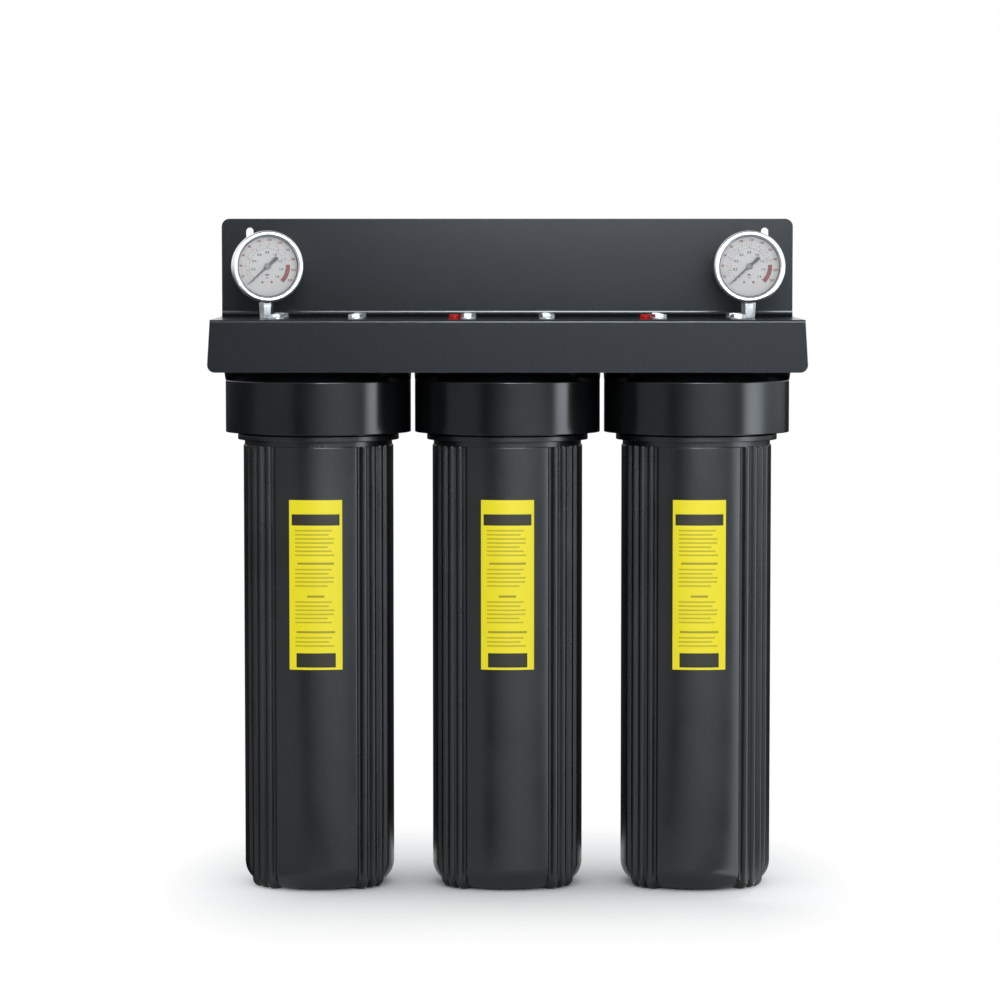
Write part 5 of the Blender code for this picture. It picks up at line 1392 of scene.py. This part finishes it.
# %% World
def in_view(tree):
    """1 for what the camera sees straight, in a reflection or through glass."""
    path = add(tree, "ShaderNodeLightPath").outputs
    seen = add(tree, "MAXIMUM", (path["Is Camera Ray"], path["Is Glossy Ray"]))
    return add(tree, "MAXIMUM", (seen, path["Is Transmission Ray"]))


ROOM_TINT, ROOM_LIGHT = (0.97, 0.985, 1, 1), 0.9

scene = bpy.context.scene
world = bpy.data.worlds.new("studio")
scene.world = world
world.use_nodes = True
tree = world.node_tree
tree.nodes.clear()
seen = in_view(tree)
white = add(tree, "ShaderNodeBackground", {"Color": (1, 1, 1, 1), "Strength": 1.0})
soft = add(tree, "ShaderNodeBackground", {"Color": ROOM_TINT, "Strength": ROOM_LIGHT})
blend = add(tree, "ShaderNodeMixShader", (seen, soft, white))
add(tree, "ShaderNodeOutputWorld", {"Surface": blend})
print("world nodes", len(tree.nodes))

# %% Floor
ROW_HALF = 0.19
SIDE_FADE = 2.4
FADE_START, FADE_END = 0.06, 0.38
FLOOR_RADIUS, FLOOR_DROP = 6.0, 0.0005

floor_paint, tree, shader = material("white_studio_floor_painted", "FAFCFC", 0.9)
place = add(tree, "ShaderNodeTexCoord").outputs["Object"]
east, north, _ = add(tree, "ShaderNodeSeparateXYZ", (place,)).outputs
side = add(tree, "ABSOLUTE", (east,))
beside = add(tree, "MULTIPLY_ADD", (side, SIDE_FADE, -SIDE_FADE * ROW_HALF))
outside = add(tree, "MAXIMUM", (beside, 0.0))
away = add(tree, "ShaderNodeCombineXYZ", {"X": outside, "Y": north})
far = add(tree, "ShaderNodeVectorMath", (away,), operation="LENGTH").outputs["Value"]
fade = add(tree, "ShaderNodeMapRange", {"Value": far, "From Min": FADE_START, "From Max": FADE_END})
glow = add(tree, "ShaderNodeEmission", {"Color": (1, 1, 1, 1), "Strength": 1.0})
seen = in_view(tree)
share = add(tree, "MULTIPLY", (seen, fade))
blend = add(tree, "ShaderNodeMixShader", (share, shader, glow))
feed(tree, tree.nodes["Material Output"], {"Surface": blend})
bpy.ops.mesh.primitive_circle_add(vertices=96, radius=FLOOR_RADIUS, fill_type="NGON",
                                  location=(0, 0, -FLOOR_DROP))
floor = bpy.context.object
floor.name = "studio_floor"
floor.data.materials.append(floor_paint)
floor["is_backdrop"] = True
print("floor ready")

# %% Lamp
SOFTBOX_PLACE = Vector((0.66, -2.10, 0.62))
SOFTBOX_AIM = Vector((0, 0, 0.62))

lamp = bpy.data.lights.new("front_right_softbox", "AREA")
lamp.shape = "RECTANGLE"
lamp.size, lamp.size_y = 2.3, 1.24
lamp.energy = 10
softbox = loose(lamp, "front_right_softbox")
softbox.location = SOFTBOX_PLACE
softbox.rotation_euler = (SOFTBOX_AIM - SOFTBOX_PLACE).to_track_quat("-Z", "Y").to_euler()
softbox.visible_glossy = False
print("lamp", lamp.name, lamp.energy, "W")

# %% Graded cards
# compass angle from the front in degrees, then the glow of the card behind the heads'
# reflections, behind the sumps' upper reflections, and of its apron on the floor
CARD_TABLE = [(-180, 0.06, 0.02, 0.04), (-137, 0.06, 0.02, 0.04), (-119, 0.03, 0.02, 0.03),
    (-96, 0, 0.01, 0.02), (-86, 0.03, 0.06, 0.1), (-79, 0.19, 0.47, 0.7), (-50, 0.2, 0.55, 0.81),
    (-42, 0.17, 0.55, 0.81), (-35, 0.12, 0.49, 0.73), (-29, 0.03, 0.06, 0.18),
    (-24, 0.03, 0.06, 0.18), (-20, 0.06, 0.23, 0.49), (-13, 0.13, 0.45, 0.74),
    (-5, 0.24, 0.58, 0.92), (2, 0.46, 0.72, 1.03), (9, 0.74, 0.86, 1.16), (17, 1, 0.96, 1.22),
    (27, 1.1, 1.12, 1.18), (35, 0.96, 1.3, 1.04), (44, 0.66, 1.3, 0.74), (52, 0.35, 0.88, 0.46),
    (57, 0.3, 0.39, 0.28), (61, 3.5, 2.2, 1.6), (65, 6.5, 4, 3.2), (75, 6.5, 4, 3.2),
    (83, 4.5, 3, 2.2), (88, 2.2, 1.2, 0.8), (94, 1.4, 0.6, 0.5), (106, 1, 0.4, 0.3),
    (120, 0.66, 0.2, 0.15), (132, 0.3, 0.1, 0.08), (138, 0.04, 0.03, 0.03), (180, 0.04, 0.04, 0.04)]
UPPER_TABLE = [(-34, 0.04), (-20, 0.04), (-12, 0.10), (-6, 0.24), (0, 0.40), (10, 0.52),
               (22, 0.6), (34, 0.6)]
CARD_REACH = 2.0
BRIGHTEST, WHITE = 100.0, 1.0
CARD_TINT = (0.9, 0.98, 1.05, 1)


def card(name, rows, size):
    """Card that only reflections see, from rows of points with the glow of each.

    A reflection of a reflection sees no more than white, so that polished steel throws no glare
    of a bright card onto the sheet behind it.
    """
    quads = [(size * i + k, size * i + k + 1, size * (i + 1) + k + 1, size * (i + 1) + k)
             for i in range(len(rows) // size - 1) for k in range(size - 1)]
    mesh = bpy.data.meshes.new(name)
    mesh.from_pydata([row[:3] for row in rows], [], quads)
    glow = mesh.attributes.new("glow", "FLOAT", "POINT")
    glow.data.foreach_set("value", [row[3] for row in rows])
    paper = bpy.data.materials.new(f"{name}_paper")
    paper.use_nodes = True
    tree = paper.node_tree
    level = add(tree, "ShaderNodeAttribute", attribute_name="glow").outputs["Fac"]
    depth = add(tree, "ShaderNodeLightPath").outputs["Ray Depth"]
    again = add(tree, "GREATER_THAN", (depth, 1.5))
    most = add(tree, "MULTIPLY_ADD", (again, WHITE - BRIGHTEST, BRIGHTEST))
    level = add(tree, "MINIMUM", (level, most))
    shine = add(tree, "ShaderNodeEmission", {"Color": CARD_TINT, "Strength": level})
    feed(tree, tree.nodes["Material Output"], {"Surface": shine})
    mesh.materials.append(paper)
    obj = loose(mesh, name)
    obj.visible_camera = obj.visible_diffuse = False
    obj.visible_transmission = obj.visible_shadow = False
    obj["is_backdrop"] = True


# %% Where the cards stand
# the round card: reach and height of each row, then which glow of the table it has and its share
CARD_ROWS = [(0.25, 0.001, 2, 0.7), (0.8, 0.001, 2, 0.85), (CARD_REACH, 0.001, 2, 1),
             (CARD_REACH, 0.15, 1, 1), (CARD_REACH, 0.34, 1, 1), (CARD_REACH, 0.36, 0, 1),
             (CARD_REACH, 0.53, 0, 1)]
UPPER_HEIGHTS = (0.54, 0.86)
BAR_Y, BAR_HEIGHTS = -2.4, (0.94, 1.85)
BAR_GLOW = [(-0.45, 0), (-0.2, 14), (0, 38), (0.2, 32), (0.45, 17), (1.6, 17)]
OVERHEAD_Z, OVERHEAD_X, OVERHEAD_Y = 1.3, (-0.7, 0.7), (-0.35, 0.3)

card("graded_card", [(reach * sin(radians(angle)), -reach * cos(radians(angle)), z,
                      share * glows[k])
                     for angle, *glows in CARD_TABLE for reach, z, k, share in CARD_ROWS],
     len(CARD_ROWS))
card("upper_card", [(CARD_REACH * sin(radians(angle)), -CARD_REACH * cos(radians(angle)), z, glow)
                    for angle, glow in UPPER_TABLE for z in UPPER_HEIGHTS], 2)
card("bar_card", [(x, BAR_Y, z, glow) for x, glow in BAR_GLOW for z in BAR_HEIGHTS], 2)
card("overhead_card", [(x, y, OVERHEAD_Z, 0) for x in OVERHEAD_X for y in OVERHEAD_Y], 2)

# %% [markdown]
# ## Camera
# The photograph was taken from four metres with a long lens, a little above the middle and
# tipped down. The values were worked out from the bracket's width at its two depths.

# %% Camera and colour
TIPPED_DOWN = 4.42

lens = bpy.data.cameras.new("portrait_lens")
lens.lens = 146.16
lens.sensor_width = 36.0
lens.shift_y = 0.055
camera = loose(lens, "portrait_camera")
camera.location = (-0.00736, -4.0386, 0.640)
camera.rotation_euler = (radians(90 - TIPPED_DOWN), 0, 0)
scene.camera = camera
scene.view_settings.view_transform = "Standard"

# %% Box of the shown model
low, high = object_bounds()
